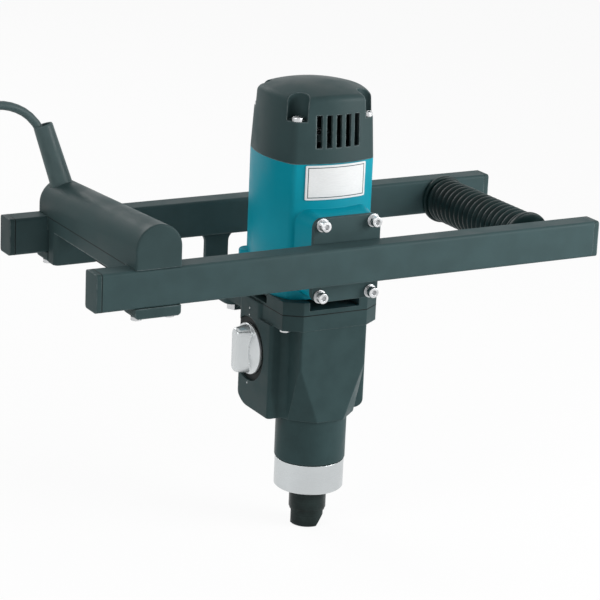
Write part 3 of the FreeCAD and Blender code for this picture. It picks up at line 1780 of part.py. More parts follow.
def handle_clamp(y0, y1):
    """Block under a bar that is screwed up through it into the handle."""
    z0 = bar_bottom - clamp_thickness
    shape = rounded_box(
        on_xz, handle_x - handle_half, handle_x + handle_half, z0, bar_bottom + 4, 3.0, y0, y1
    )
    reach = handle_half + 1
    shape = shape.cut(
        block(handle_x - reach, handle_x + reach, y0 - 1, y1 + 1, bar_bottom, bar_bottom + 10)
    )
    for x in clamp_screw_places():
        shape = shape.cut(
            post(x, (y0 + y1) / 2, z0 - 1, bar_bottom + 1, clamp_screw_radius + screw_clearance)
        )
    return shape


def clamp_screws():
    """Four screws of the two handle clamps."""
    screws = []
    seat = bar_bottom - clamp_thickness
    for x in clamp_screw_places():
        for y in (front_bar_y, rear_bar_y):
            head = post(x, y, seat - clamp_head_height, seat, clamp_head_radius)
            slot = block(
                x - 6, x + 6, y - 0.6, y + 0.6, seat - clamp_head_height - 1, seat - clamp_head_height + 1.2
            )
            shank = post(x, y, seat, bar_top + clamp_screw_grip, clamp_screw_radius)
            screws.append(join([head.cut(slot), shank]))
    return Part.makeCompound(screws)


def switch_body():
    """Switch in the handle's room, between its walls."""
    half = handle_half - handle_wall - running_clearance
    rear = switch_front + switch_length
    top = crown_at(rear) - handle_half - running_clearance
    return block(handle_x - half, handle_x + half, switch_front, rear, top - switch_height, top)


def trigger():
    """Rocker trigger that hangs out of the handle's underside, with its hub on the pin."""
    left = handle_x - trigger_half
    top = handle_under + trigger_top_lift
    low = handle_under - trigger_reach
    outline = (
        (trigger_front, top),
        (trigger_front, low + 2),
        (trigger_front + 3, low),
        (trigger_pin_y - 14, low),
        (trigger_pin_y + 2, handle_under - 0.5),
        (trigger_pin_y + 2, top),
    )
    body = polygon_prism(on_yz, outline, left, left + 2 * trigger_half)
    hub = rod(V(left, trigger_pin_y, trigger_pin_z), X_AXIS, trigger_hub_radius, 2 * trigger_half)
    lip_low = handle_under + handle_base_thickness + 0.5
    lip = block(
        left, left + 2 * trigger_half, trigger_front - trigger_lip, trigger_front + 1, lip_low, top + 0.5
    )
    shape = join([body, hub, lip])
    notch = block(
        handle_x - 4.5, handle_x + 4.5, trigger_pin_y - 5, trigger_pin_y + 9, trigger_pin_z - 4.5, top + 9
    )
    bore = rod(
        V(left - 1, trigger_pin_y, trigger_pin_z),
        X_AXIS,
        trigger_pin_radius + running_clearance,
        2 * trigger_half + 2,
    )
    return shape.cut(notch).cut(bore)


def trigger_pin():
    """Pin of the trigger between the base's lugs."""
    start = V(handle_x - trigger_pin_half, trigger_pin_y, trigger_pin_z)
    return rod(start, X_AXIS, trigger_pin_radius, 2 * trigger_pin_half)


def trigger_spring():
    """Torsion spring wound round the trigger's pin."""
    radius = trigger_pin_radius + spring_wire_radius + 0.3
    length = spring_turns * spring_pitch
    start = V(handle_x - length / 2, trigger_pin_y + radius, trigger_pin_z)
    edges = helix_edges(start, V(0, -1, 0), X_AXIS, radius, spring_pitch, spring_turns)
    print_gap("trigger spring", edges, spring_wire_radius, math.pi * radius)
    tangent = helix_tangent(V(0, -1, 0), X_AXIS, radius, spring_pitch, 0)
    return tube_along(edges, start, tangent, spring_wire_radius)


def lock_button():
    """Round lock button in the handle's inner side, with a collar behind the wall."""
    z = handle_under + button_lift
    wall_inside = handle_x + handle_half - handle_wall
    face = handle_x + handle_half + button_reach
    stem = rod(
        V(wall_inside - button_collar - 0.3, button_y, z),
        X_AXIS,
        button_radius,
        face - wall_inside + button_collar + 0.3,
    )
    stem = stem.makeFillet(1.0, [e for e in stem.Edges if e.CenterOfMass.x > face - 0.01])
    flange = rod(
        V(wall_inside - button_collar - 0.3, button_y, z), X_AXIS, button_radius + 1.8, button_collar
    )
    return join([stem, flange])


# Ribbed grip
def grip_tube():
    """Steel tube between the bars."""
    start = V(grip_x, front_inner, grip_z)
    length = rear_inner - front_inner
    outer = rod(start, Y_AXIS, grip_tube_radius, length)
    return outer.cut(rod(start - Y_AXIS, Y_AXIS, grip_tube_radius - grip_tube_wall, length + 2))


def grip_sleeve():
    """Rubber sleeve with a flange at each end and round ribs between them."""
    start_y = front_inner + grip_front_gap
    length = rear_inner - start_y
    pitch = (length - 2 * grip_flange_width) / grip_rib_count
    points = [
        (grip_tube_radius, 0),
        (grip_flange_radius - 1, 0),
        (grip_flange_radius, 1),
        (grip_flange_radius, grip_flange_width - 1),
        (grip_flange_radius - 1, grip_flange_width),
    ]
    for index in range(grip_rib_count):
        start = grip_flange_width + index * pitch
        points += [
            (grip_valley_radius, start + 0.10 * pitch),
            (grip_rib_radius, start + 0.30 * pitch),
            (grip_rib_radius, start + 0.70 * pitch),
            (grip_valley_radius, start + 0.90 * pitch),
        ]
    points += [
        (grip_flange_radius - 1, length - grip_flange_width),
        (grip_flange_radius, length - grip_flange_width + 1),
        (grip_flange_radius, length - 1),
        (grip_flange_radius - 1, length),
        (grip_tube_radius, length),
    ]
    return turned(points, V(grip_x, start_y, grip_z), Y_AXIS)


# Cord
def cord_guard():
    """Tapered rubber guard that stands in the handle's socket, with a flared bore for the cord."""
    low = -guard_socket
    points = [
        (0, low),
        (guard_base_radius, low),
        (guard_base_radius, 0),
        (guard_tip_radius, guard_length),
        (guard_mouth_radius, guard_length),
        (guard_bore_radius, guard_length - guard_flare),
        (guard_bore_radius, guard_length - guard_bore_depth),
        (0, guard_length - guard_bore_depth),
    ]
    return turned(points, guard_base, guard_direction)


def coil_tangent(angle):
    """Direction of the coil at an angle of its winding."""
    return helix_tangent(V(0, -1, 0), V(-1, 0, 0), coil_radius, coil_pitch, angle)


def slope_step(angle):
    """One run of the cord to the left, at an angle below the level in degrees."""
    return V(-math.cos(math.radians(angle)), 0, -math.sin(math.radians(angle))) * cord_run


def cord_route():
    """Points of the cord from the guard's bore over to the left and down to the coil."""
    points = [guard_tip - guard_direction * guard_bore_depth]
    steps = [
        guard_direction * cord_run, slope_step(-cord_rise), slope_step(cord_dip), slope_step(cord_drop)
    ]
    steps.append(coil_tangent(0) * cord_run)
    for step in steps:
        points.append(points[-1] + step)
    return points


def cord():
    """Cord from the guard to the coil."""
    points = cord_route()
    edges, radii = route_edges(points)
    shape = tube_along(edges, points[0], guard_direction, cord_radius)
    length = sum(edge.Length for edge in edges)
    ratio = shape.Volume / (math.pi * cord_radius ** 2 * length)
    print(
        "cord radii",
        [round(r, 1) for r in radii],
        "length",
        round(length, 1),
        "volume ratio",
        round(ratio, 4),
    )
    return shape


def coil_start():
    """Point where the cord goes over into the coil."""
    return cord_route()[-1]


def cord_coil():
    """Put-away length of the cord, wound in a round coil, with a straight tail to the plug."""
    inward = V(0, -1, 0)
    axis = V(-1, 0, 0)
    edges = helix_edges(coil_start(), inward, axis, coil_radius, coil_pitch, coil_turns)
    print_gap("coil", edges, cord_radius, math.pi * coil_radius)
    end = coil_end()
    edges.append(Part.LineSegment(end, end + coil_tangent(0) * tail_length).toShape())
    shape = tube_along(edges, coil_start(), coil_tangent(0), cord_radius)
    length = sum(edge.Length for edge in edges)
    ratio = shape.Volume / (math.pi * cord_radius ** 2 * length)
    print("coil length", round(length, 1), "volume ratio", round(ratio, 4))
    return shape


def coil_end():
    """Point where the last turn of the coil ends."""
    return helix_point(
        coil_start(), V(0, -1, 0), V(-1, 0, 0), coil_radius, coil_pitch, 2 * math.pi * coil_turns
    )


def coil_tie():
    """Band round all turns at the top of the coil."""
    top = V(coil_start().x, coil_start().y - coil_radius, coil_start().z + coil_radius)
    room = cord_radius + 0.5
    x0 = top.x - coil_pitch * coil_turns - room
    x1 = top.x + room
    inner = rounded_box(
        on_xz, x0, x1, top.z - room, top.z + room, 3.0, top.y - tie_width / 2 - 1, top.y + tie_width / 2 + 1
    )
    t = tie_thickness
    outer = rounded_box(
        on_xz,
        x0 - t,
        x1 + t,
        top.z - room - t,
        top.z + room + t,
        3.0 + t,
        top.y - tie_width / 2,
        top.y + tie_width / 2,
    )
    return outer.cut(inner)


def plug():
    """Round plug with a tapered neck and two pins."""
    direction = coil_tangent(0)
    start = coil_end() + direction * tail_length
    shoulder = plug_neck_length + 6
    end = shoulder + plug_length - 6
    body = turned(
        [
            (0, 0),
            (cord_radius + 1.2, 0),
            (cord_radius + 3.4, plug_neck_length),
            (plug_radius, shoulder),
            (plug_radius, end - 1),
            (plug_radius - 1, end),
            (0, end),
        ],
        start,
        direction,
    )
    pins = []
    for side in (-1, 1):
        base = start + direction * (end - 1) + V(0, side * plug_pin_spread / 2, 0)
        pins.append(rod(base, direction, plug_pin_radius, plug_pin_length + 1))
    return join([body] + pins)


NODES = {
    "front_bar": lambda: bar(front_bar_y),
    "rear_bar": lambda: bar(rear_bar_y),
    "bar_end_caps": bar_end_caps,
    "front_bracket": front_bracket,
    "bracket_bolts": bracket_bolts,
    "bracket_flat_washers": bracket_flat_washers,
    "bracket_spring_washers": bracket_spring_washers,
    "rear_brackets": rear_brackets,
    "foot_bolts": foot_bolts,
    "gear_housing": gear_housing,
    "gear_housing_screws": gear_housing_screws,
    "collar": collar,
    "oil_seal": oil_seal,
    "spindle_lower_bearing": spindle_lower_bearing,
    "spindle_upper_bearing": spindle_upper_bearing,
    "knob_base": knob_base,
    "speed_knob": speed_knob,
    "fork_rod": fork_rod,
    "fork_spring": fork_spring,
    "shift_fork": shift_fork,
    "spindle": spindle,
    "low_gear": low_gear,
    "high_gear": high_gear,
    "shift_sleeve": shift_sleeve,
    "layshaft": layshaft,
    "layshaft_gear": layshaft_gear,
    "layshaft_bearings": layshaft_bearings,
    "bearing_plate": bearing_plate,
    "motor_housing": motor_housing,
    "rating_plate": rating_plate,
    "top_cover": top_cover,
    "cover_screws": cover_screws,
    "bearing_bridge": bearing_bridge,
    "motor_bearings": motor_bearings,
    "armature_shaft": armature_shaft,
    "armature_core": armature_core,
    "armature_windings": armature_windings,
    "commutator": commutator,
    "cooling_fan": cooling_fan,
    "stator_core": stator_core,
    "field_coils": field_coils,
    "brush_holders": brush_holders,
    "carbon_brushes": carbon_brushes,
    "handle_shell": handle_shell,
    "handle_base": handle_base,
    "front_clamp": lambda: handle_clamp(front_face, front_inner),
    "rear_clamp": lambda: handle_clamp(rear_inner, rear_face),
    "clamp_screws": clamp_screws,
    "switch_body": switch_body,
    "trigger": trigger,
    "trigger_pin": trigger_pin,
    "trigger_spring": trigger_spring,
    "lock_button": lock_button,
    "grip_tube": grip_tube,
    "grip_sleeve": grip_sleeve,
    "cord_guard": cord_guard,
    "cord": cord,
    "cord_coil": cord_coil,
    "coil_tie": coil_tie,
    "plug": plug,
}


def main():
    """Write every piece to its own file."""
    os.makedirs("parts", exist_ok=True)
    for name, make in NODES.items():
        shape = make()
        if not shape.isValid() or not shape.Solids:
            print("not a valid solid:", name)
        shape.exportStep("parts/" + name + ".step")
    print("nodes", len(NODES))


main()
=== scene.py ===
"""Looks of the mixing drill: finishes of its pieces, its lead, light and camera."""

import json
import logging
import math
from dataclasses import dataclass, field
from enum import Enum

import bmesh
import bpy
from mathutils import Matrix, Vector


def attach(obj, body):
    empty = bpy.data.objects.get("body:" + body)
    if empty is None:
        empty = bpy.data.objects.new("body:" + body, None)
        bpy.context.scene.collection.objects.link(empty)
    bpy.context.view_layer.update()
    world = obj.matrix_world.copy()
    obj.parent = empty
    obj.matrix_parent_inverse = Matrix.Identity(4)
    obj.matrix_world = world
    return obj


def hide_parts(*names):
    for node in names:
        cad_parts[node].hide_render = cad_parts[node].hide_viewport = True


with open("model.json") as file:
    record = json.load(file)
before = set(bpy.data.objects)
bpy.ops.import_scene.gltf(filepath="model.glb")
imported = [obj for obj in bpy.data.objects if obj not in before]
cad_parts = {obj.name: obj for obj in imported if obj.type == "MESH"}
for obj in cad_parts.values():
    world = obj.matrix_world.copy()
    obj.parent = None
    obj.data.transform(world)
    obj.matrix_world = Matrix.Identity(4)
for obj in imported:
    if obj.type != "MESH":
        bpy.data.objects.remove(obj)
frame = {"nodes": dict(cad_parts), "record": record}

Pair = tuple[float, float]
Colour = tuple[float, float, float]
Point = tuple[float, float, float]
Profile = list[Pair]
Outline = tuple[Pair, ...]
Bend = tuple[Pair, float, float, float, int]
Shape = bmesh.types.BMesh
Socket = bpy.types.NodeSocket
Tree = bpy.types.NodeTree

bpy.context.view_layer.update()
MM = 0.001
WHITE = (1.0, 1.0, 1.0, 1.0)
JOIN_METRES = 1e-6
JOIN_MILLIMETRES = 1e-4
BAND_STEPS = 6
END_FACING = 0.9

log = logging.getLogger("mixing_drill")


class Body(Enum):
    """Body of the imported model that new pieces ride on."""

    FRAME = "frame"


class Pattern(Enum):
    """Fine marks that a finish carries besides its grain."""

    PLAIN = "plain"
    TURNED = "turned"
    STACKED = "stacked"
    WOUND = "wound"
    BRUSHED = "brushed"
    FRAMED = "framed"


def linear(code: str) -> Colour:
    """Turn a screen colour into the linear values that shaders take.

    Args:
        code: six hexadecimal digits.

    Returns:
        The red, green and blue parts from 0 to 1.
    """
    parts = [int(code[i:i + 2], 16) / 255 for i in (0, 2, 4)]
    return tuple(p / 12.92 if p <= 0.04045 else ((p + 0.055) / 1.055) ** 2.4 for p in parts)


class Wiring:
    """Short calls to add nodes to a tree and to join their sockets."""

    # Places of a mix node's colour sockets
    MIX_COLOURS = (6, 7)
    MIX_RESULT = 2

    def __init__(self, tree: Tree) -> None:
        """Keep the tree that the nodes go into."""
        self.tree = tree

    def add(self, kind: str, **settings: object) -> bpy.types.Node:
        """Add a node.

        Args:
            kind: type name of the node.
            settings: values of its properties.

        Returns:
            The new node.
        """
        node = self.tree.nodes.new(kind)
        for name, value in settings.items():
            setattr(node, name, value)
        return node

    def link(self, source: Socket, target: Socket) -> None:
        """Join two sockets."""
        self.tree.links.new(source, target)

    def feed(self, node: bpy.types.Node, index: int | str, value: object) -> None:
        """Give an input either a link or a constant.

        Args:
            node: node whose input is set.
            index: place or name of the input.
            value: a socket to link, or a number.
        """
        if isinstance(value, Socket):
            self.link(value, node.inputs[index])
        else:
            node.inputs[index].default_value = value

    def feed_all(self, node: bpy.types.Node, values: dict[str, object]) -> None:
        """Give several inputs a link or a constant each.

        Args:
            node: node whose inputs are set.
            values: names of the inputs, with a socket or a number for each.
        """
        for name, value in values.items():
            self.feed(node, name, value)

    def math(self, operation: str, *values: object) -> Socket:
        """Add a math node.

        Args:
            operation: name of the operation.
            values: sockets or numbers for its inputs.

        Returns:
            The result's socket.
        """
        node = self.add("ShaderNodeMath", operation=operation)
        for index, value in enumerate(values):
            self.feed(node, index, value)
        return node.outputs[0]

    def steps(
        self, value: object, low: float, high: float, start: float = 0.0, end: float = 1.0
    ) -> Socket:
        """Map a range of values smoothly to another one.

        Args:
            value: socket to map.
            low: value that becomes start.
            high: value that becomes end.
            start: result at low.
            end: result at high.

        Returns:
            The result's socket.
        """
        node = self.add("ShaderNodeMapRange", interpolation_type="SMOOTHSTEP")
        for index, number in enumerate((value, low, high, start, end)):
            self.feed(node, index, number)
        return node.outputs[0]

    def mix(self, factor: object, first: object, second: object) -> Socket:
        """Mix two colours.

        Args:
            factor: socket or number from 0 to 1.
            first: colour or socket at 0.
            second: colour or socket at 1.

        Returns:
            The mixed colour's socket.
        """
        node = self.add("ShaderNodeMix", data_type="RGBA")
        self.feed(node, 0, factor)
        for index, colour in zip(self.MIX_COLOURS, (first, second)):
            linked = isinstance(colour, Socket)
            self.feed(node, index, colour if linked else (*colour, 1.0))
        return node.outputs[self.MIX_RESULT]

    def place(self) -> Socket:
        """Read the place on the object.

        Returns:
            The place's socket.
        """
        return self.add("ShaderNodeTexCoord").outputs["Object"]

    def place_parts(self) -> bpy.types.bpy_prop_collection:
        """Split the place on the object.

        Returns:
            Its sockets, named X, Y and Z.
        """
        parts = self.add("ShaderNodeSeparateXYZ")
        self.link(self.place(), parts.inputs[0])
        return parts.outputs

    def noise(self, place: Socket, scale: object, detail: float) -> Socket:
        """Add a noise texture.

        Args:
            place: socket of the place where it is read.
            scale: socket or number for its scale.
            detail: number of its finer layers.

        Returns:
            The noise's socket.
        """
        node = self.add("ShaderNodeTexNoise")
        self.feed_all(node, {"Vector": place, "Scale": scale, "Detail": detail})
        return node.outputs[0]


# Light grey of paint edges: partly rubbed paint, partly painted highlight.
PAINT_EDGE_WEAR_AND_HIGHLIGHT = linear("a9b7b9")
PLATE_LINE = linear("35474c")
PLATE_FRAME = {
    "Middle X": -0.0004, "Middle Z": 0.2966, "Half X": 0.0249, "Half Z": 0.0120, "Line": 0.00035,
}
LINED_PATTERNS = (Pattern.TURNED, Pattern.STACKED, Pattern.WOUND)
DENSE_PATTERNS = (Pattern.STACKED, Pattern.WOUND)
DENSE_SHARE = 0.35
FAINT_SHARE = 0.12
MARK_SHADE = 0.55
LEAST_ROUGHNESS = 0.04


class SharedEffects:
    """Node groups that several finishes place with their own values."""

    NUMBER = "NodeSocketFloat"
    VECTOR = "NodeSocketVector"
    RELIEF = {"Height": NUMBER, "Tone": NUMBER}
    FINE_DETAIL = 3.0
    FINE_SHARE = 0.6
    CLOUD_DETAIL = 4.0
    TONE_RANGE = (0.3, 0.7)
    SPECK_RANGE = (0.58, 0.72)
    BEVEL_SAMPLES = 6
    TURN_RANGE = (0.02, 0.22)
    PATCH_SCALE = 160.0
    PATCH_DETAIL = 5.0
    PATCH_RANGE = (0.35, 0.65, 0.35, 1.0)
    LINE_DETAIL = 2.0
    WAVE_RATE = 2.0
    WAVE_SHARE = 0.25
    STREAK_DETAIL = 2.0
    STREAK_RANGE = (0.35, 0.65)

    def __init__(self) -> None:
        """Build each group once."""
        self.grain = self._grain()
        self.edges = self._edges()
        self.lines = self._lines()
        self.strands = self._strands()
        self.border = self._border()

    @classmethod
    def _start(cls, name: str, inputs: dict[str, float], outputs: dict[str, str]) -> tuple:
        """Begin a group.

        Args:
            name: name of the group.
            inputs: names and defaults of its number inputs.
            outputs: names and socket types of its outputs.

        Returns:
            The group, its wiring, its input node and its output node.
        """
        group = bpy.data.node_groups.new(name, "ShaderNodeTree")
        for label, value in inputs.items():
            socket = group.interface.new_socket(label, in_out="INPUT", socket_type=cls.NUMBER)
            socket.default_value = value
        for label, kind in outputs.items():
            group.interface.new_socket(label, in_out="OUTPUT", socket_type=kind)
        wiring = Wiring(group)
        return group, wiring, wiring.add("NodeGroupInput"), wiring.add("NodeGroupOutput")

    def _grain(self) -> Tree:
        """Fine grain with soft cloudy tones, as on paint and moulded skins."""
        inputs = {"Scale": 900.0, "Cloud Scale": 30.0}
        outputs = {**self.RELIEF, "Speck": self.NUMBER}
        group, wiring, start, end = self._start("surface_grain", inputs, outputs)
        place = wiring.place()
        fine = wiring.noise(place, start.outputs["Scale"], self.FINE_DETAIL)
        cloud = wiring.noise(place, start.outputs["Cloud Scale"], self.CLOUD_DETAIL)
        cells = wiring.add("ShaderNodeTexVoronoi")
        wiring.feed_all(cells, {"Vector": place, "Scale": start.outputs["Scale"]})
        wiring.feed_all(end, {
            "Height": wiring.math("MULTIPLY_ADD", fine, self.FINE_SHARE, cells.outputs["Distance"]),
            "Tone": wiring.steps(cloud, *self.TONE_RANGE),
            "Speck": wiring.steps(fine, *self.SPECK_RANGE),
        })
        return group

    def _edges(self) -> Tree:
        """Rounded look of edges, and a mask of edges that are painted lighter, partly as rubbed
        paint and partly as painted highlight.
        """
        inputs = {"Radius": 0.0008, "Wear And Highlight": 0.5}
        outputs = {"Normal": self.VECTOR, "Mask": self.NUMBER}
        group, wiring, start, end = self._start("rubbed_and_highlit_edges", inputs, outputs)
        round_off = wiring.add("ShaderNodeBevel", samples=self.BEVEL_SAMPLES)
        wiring.link(start.outputs["Radius"], round_off.inputs["Radius"])
        face = wiring.add("ShaderNodeNewGeometry")
        dot = wiring.add("ShaderNodeVectorMath", operation="DOT_PRODUCT")
        wiring.link(round_off.outputs[0], dot.inputs[0])
        wiring.link(face.outputs["Normal"], dot.inputs[1])
        turn = wiring.math("SUBTRACT", 1.0, dot.outputs["Value"])
        patchy = wiring.noise(wiring.place(), self.PATCH_SCALE, self.PATCH_DETAIL)
        patches = wiring.steps(patchy, *self.PATCH_RANGE)
        # Mask of edges painted lighter: partly rubbed wear, partly painted highlight.
        wear_and_highlight = wiring.math("MULTIPLY", wiring.steps(turn, *self.TURN_RANGE), patches)
        wiring.link(wiring.math("MULTIPLY", wear_and_highlight, start.outputs["Wear And Highlight"]), end.inputs["Mask"])
        wiring.link(round_off.outputs[0], end.inputs["Normal"])
        return group

    def _lines(self) -> Tree:
        """Fine lines across the height, as a lathe, stacked sheets or wound wire leave."""
        inputs = {"Scale": 3000.0}
        group, wiring, start, end = self._start("turned_lines", inputs, self.RELIEF)
        level = wiring.math("MULTIPLY", wiring.place_parts()["Z"], start.outputs["Scale"])
        noise = wiring.add("ShaderNodeTexNoise", noise_dimensions="1D")
        wiring.feed_all(noise, {"W": level, "Scale": 1.0, "Detail": self.LINE_DETAIL})
        wave = wiring.math("SINE", wiring.math("MULTIPLY", level, self.WAVE_RATE))
        wiring.feed_all(end, {
            "Height": wiring.math("MULTIPLY_ADD", wave, self.WAVE_SHARE, noise.outputs[0]),
            "Tone": wiring.steps(noise.outputs[0], *self.TONE_RANGE),
        })
        return group

    def _strands(self) -> Tree:
        """Long streaks along X, as brushing leaves."""
        inputs = {"Scale": 900.0, "Stretch": 0.04}
        group, wiring, start, end = self._start("streaks", inputs, self.RELIEF)
        parts = wiring.place_parts()
        low = wiring.math("MULTIPLY", parts["X"], start.outputs["Stretch"])
        place = wiring.add("ShaderNodeCombineXYZ")
        for index, socket in enumerate((low, parts["Y"], parts["Z"])):
            wiring.link(socket, place.inputs[index])
        noise = wiring.noise(place.outputs[0], start.outputs["Scale"], self.STREAK_DETAIL)
        wiring.feed_all(end, {"Height": noise, "Tone": wiring.steps(noise, *self.STREAK_RANGE)})
        return group

    def _border(self) -> Tree:
        """Printed frame line just inside the edge of a plate that stands across X and Z."""
        inputs = dict.fromkeys(PLATE_FRAME, 0.0)
        group, wiring, start, end = self._start("printed_border", inputs, {"Mask": self.NUMBER})
        parts = wiring.place_parts()
        gaps = []
        for axis in ("X", "Z"):
            offset = wiring.math("SUBTRACT", parts[axis], start.outputs["Middle " + axis])
            away = wiring.math("ABSOLUTE", offset)
            gaps.append(wiring.math("SUBTRACT", away, start.outputs["Half " + axis]))
        outside = wiring.math("ABSOLUTE", wiring.math("MAXIMUM", *gaps))
        wiring.link(wiring.math("LESS_THAN", outside, start.outputs["Line"]), end.inputs["Mask"])
        return group


@dataclass(frozen=True)
class Finish:
    """Surface of one kind of piece, with its colour, gloss, grain, and edges painted lighter as
    wear and as painted highlight.
    """

    name: str
    colour: Colour
    roughness: float
    metallic: float = 0.0
    grain: float = 900.0
    depth: float = 0.00002
    clouds: float = 0.12
    cloud_scale: float = 28.0
    specks: float = 0.0
    edge_radius: float = 0.0007
    edge_colour: Colour = (0.2, 0.22, 0.23)
    # Strength of the lighter edges: partly rubbed wear, partly painted highlight.
    edge_wear_and_highlight: float = 0.0
    roughness_spread: float = 0.08
    specular: float = 0.5
    pattern: Pattern = Pattern.PLAIN
    pattern_scale: float = 3000.0
    pattern_depth: float = 0.00002
    coat: float = 0.0
    anisotropy: float = 0.0

    def build(self, effects: SharedEffects) -> bpy.types.Material:
        """Make the material.

        Args:
            effects: the shared node groups.

        Returns:
            The material with its nodes.
        """
        material = bpy.data.materials.new(self.name)
        material.use_nodes = True
        material.diffuse_color = (*self.colour, 1.0)
        wiring = Wiring(material.node_tree)
        shader = material.node_tree.nodes["Principled BSDF"]
        wiring.feed_all(shader, {
            "Metallic": self.metallic, "Specular IOR Level": self.specular,
            "Coat Weight": self.coat, "Anisotropic": self.anisotropy,
        })
        if self.anisotropy:
            round_z = wiring.add("ShaderNodeTangent", direction_type="RADIAL", axis="Z")
            wiring.link(round_z.outputs[0], shader.inputs["Tangent"])
        grain_values = {"Scale": self.grain, "Cloud Scale": self.cloud_scale}
        grain = self._place(wiring, effects.grain, grain_values)
        edge_values = {"Radius": self.edge_radius, "Wear And Highlight": self.edge_wear_and_highlight}
        edge = self._place(wiring, effects.edges, edge_values)
        darker = tuple(part * (1.0 - self.clouds) for part in self.colour)
        lighter = tuple(min(1.0, part * (1.0 + self.clouds)) for part in self.colour)
        colour = wiring.mix(grain.outputs["Tone"], darker, lighter)
        if self.specks:
            speck = wiring.math("MULTIPLY", grain.outputs["Speck"], self.specks)
            colour = wiring.mix(speck, colour, self.edge_colour)
        height = wiring.math("MULTIPLY", grain.outputs["Height"], self.depth)
        tone = grain.outputs["Tone"]
        if self.pattern is not Pattern.PLAIN:
            colour, height, tone = self._marks(wiring, effects, colour, height)
        # Paint edges towards the edge colour: partly rubbed wear, partly painted highlight.
        if self.edge_wear_and_highlight:
            colour = wiring.mix(edge.outputs["Mask"], colour, self.edge_colour)
        wiring.link(colour, shader.inputs["Base Color"])
        low = max(LEAST_ROUGHNESS, self.roughness - self.roughness_spread)
        high = min(1.0, self.roughness + self.roughness_spread)
        wiring.link(wiring.steps(tone, 0.0, 1.0, low, high), shader.inputs["Roughness"])
        bump = wiring.add("ShaderNodeBump")
        wiring.feed_all(bump, {
            "Distance": 1.0, "Strength": 1.0, "Height": height, "Normal": edge.outputs["Normal"],
        })
        wiring.link(bump.outputs[0], shader.inputs["Normal"])
        return material

    @staticmethod
    def _place(wiring: Wiring, group: Tree, values: dict[str, float]) -> bpy.types.Node:
        """Place a shared group.

        Args:
            wiring: wiring of the material.
            group: the node group.
            values: numbers for its inputs.

        Returns:
            The group's node.
        """
        node = wiring.add("ShaderNodeGroup", node_tree=group)
        wiring.feed_all(node, values)
        return node

    def _marks(
        self, wiring: Wiring, effects: SharedEffects, colour: object, height: object
    ) -> tuple:
        """Add the pattern's lines to colour and height.

        Args:
            wiring: wiring of the material.
            effects: the shared node groups.
            colour: colour so far.
            height: height so far.

        Returns:
            The new colour, height and tone.
        """
        group = effects.lines if self.pattern in LINED_PATTERNS else effects.strands
        marks = self._place(wiring, group, {"Scale": self.pattern_scale})
        share = DENSE_SHARE if self.pattern in DENSE_PATTERNS else FAINT_SHARE
        shade = tuple(part * MARK_SHADE for part in self.colour)
        faded = wiring.math("MULTIPLY", marks.outputs["Tone"], share)
        colour = wiring.mix(faded, colour, shade)
        if self.pattern is Pattern.FRAMED:
            border = self._place(wiring, effects.border, PLATE_FRAME)
            colour = wiring.mix(border.outputs["Mask"], colour, PLATE_LINE)
        height = wiring.math("MULTIPLY_ADD", marks.outputs["Height"], self.pattern_depth, height)
        return colour, height, marks.outputs["Tone"]
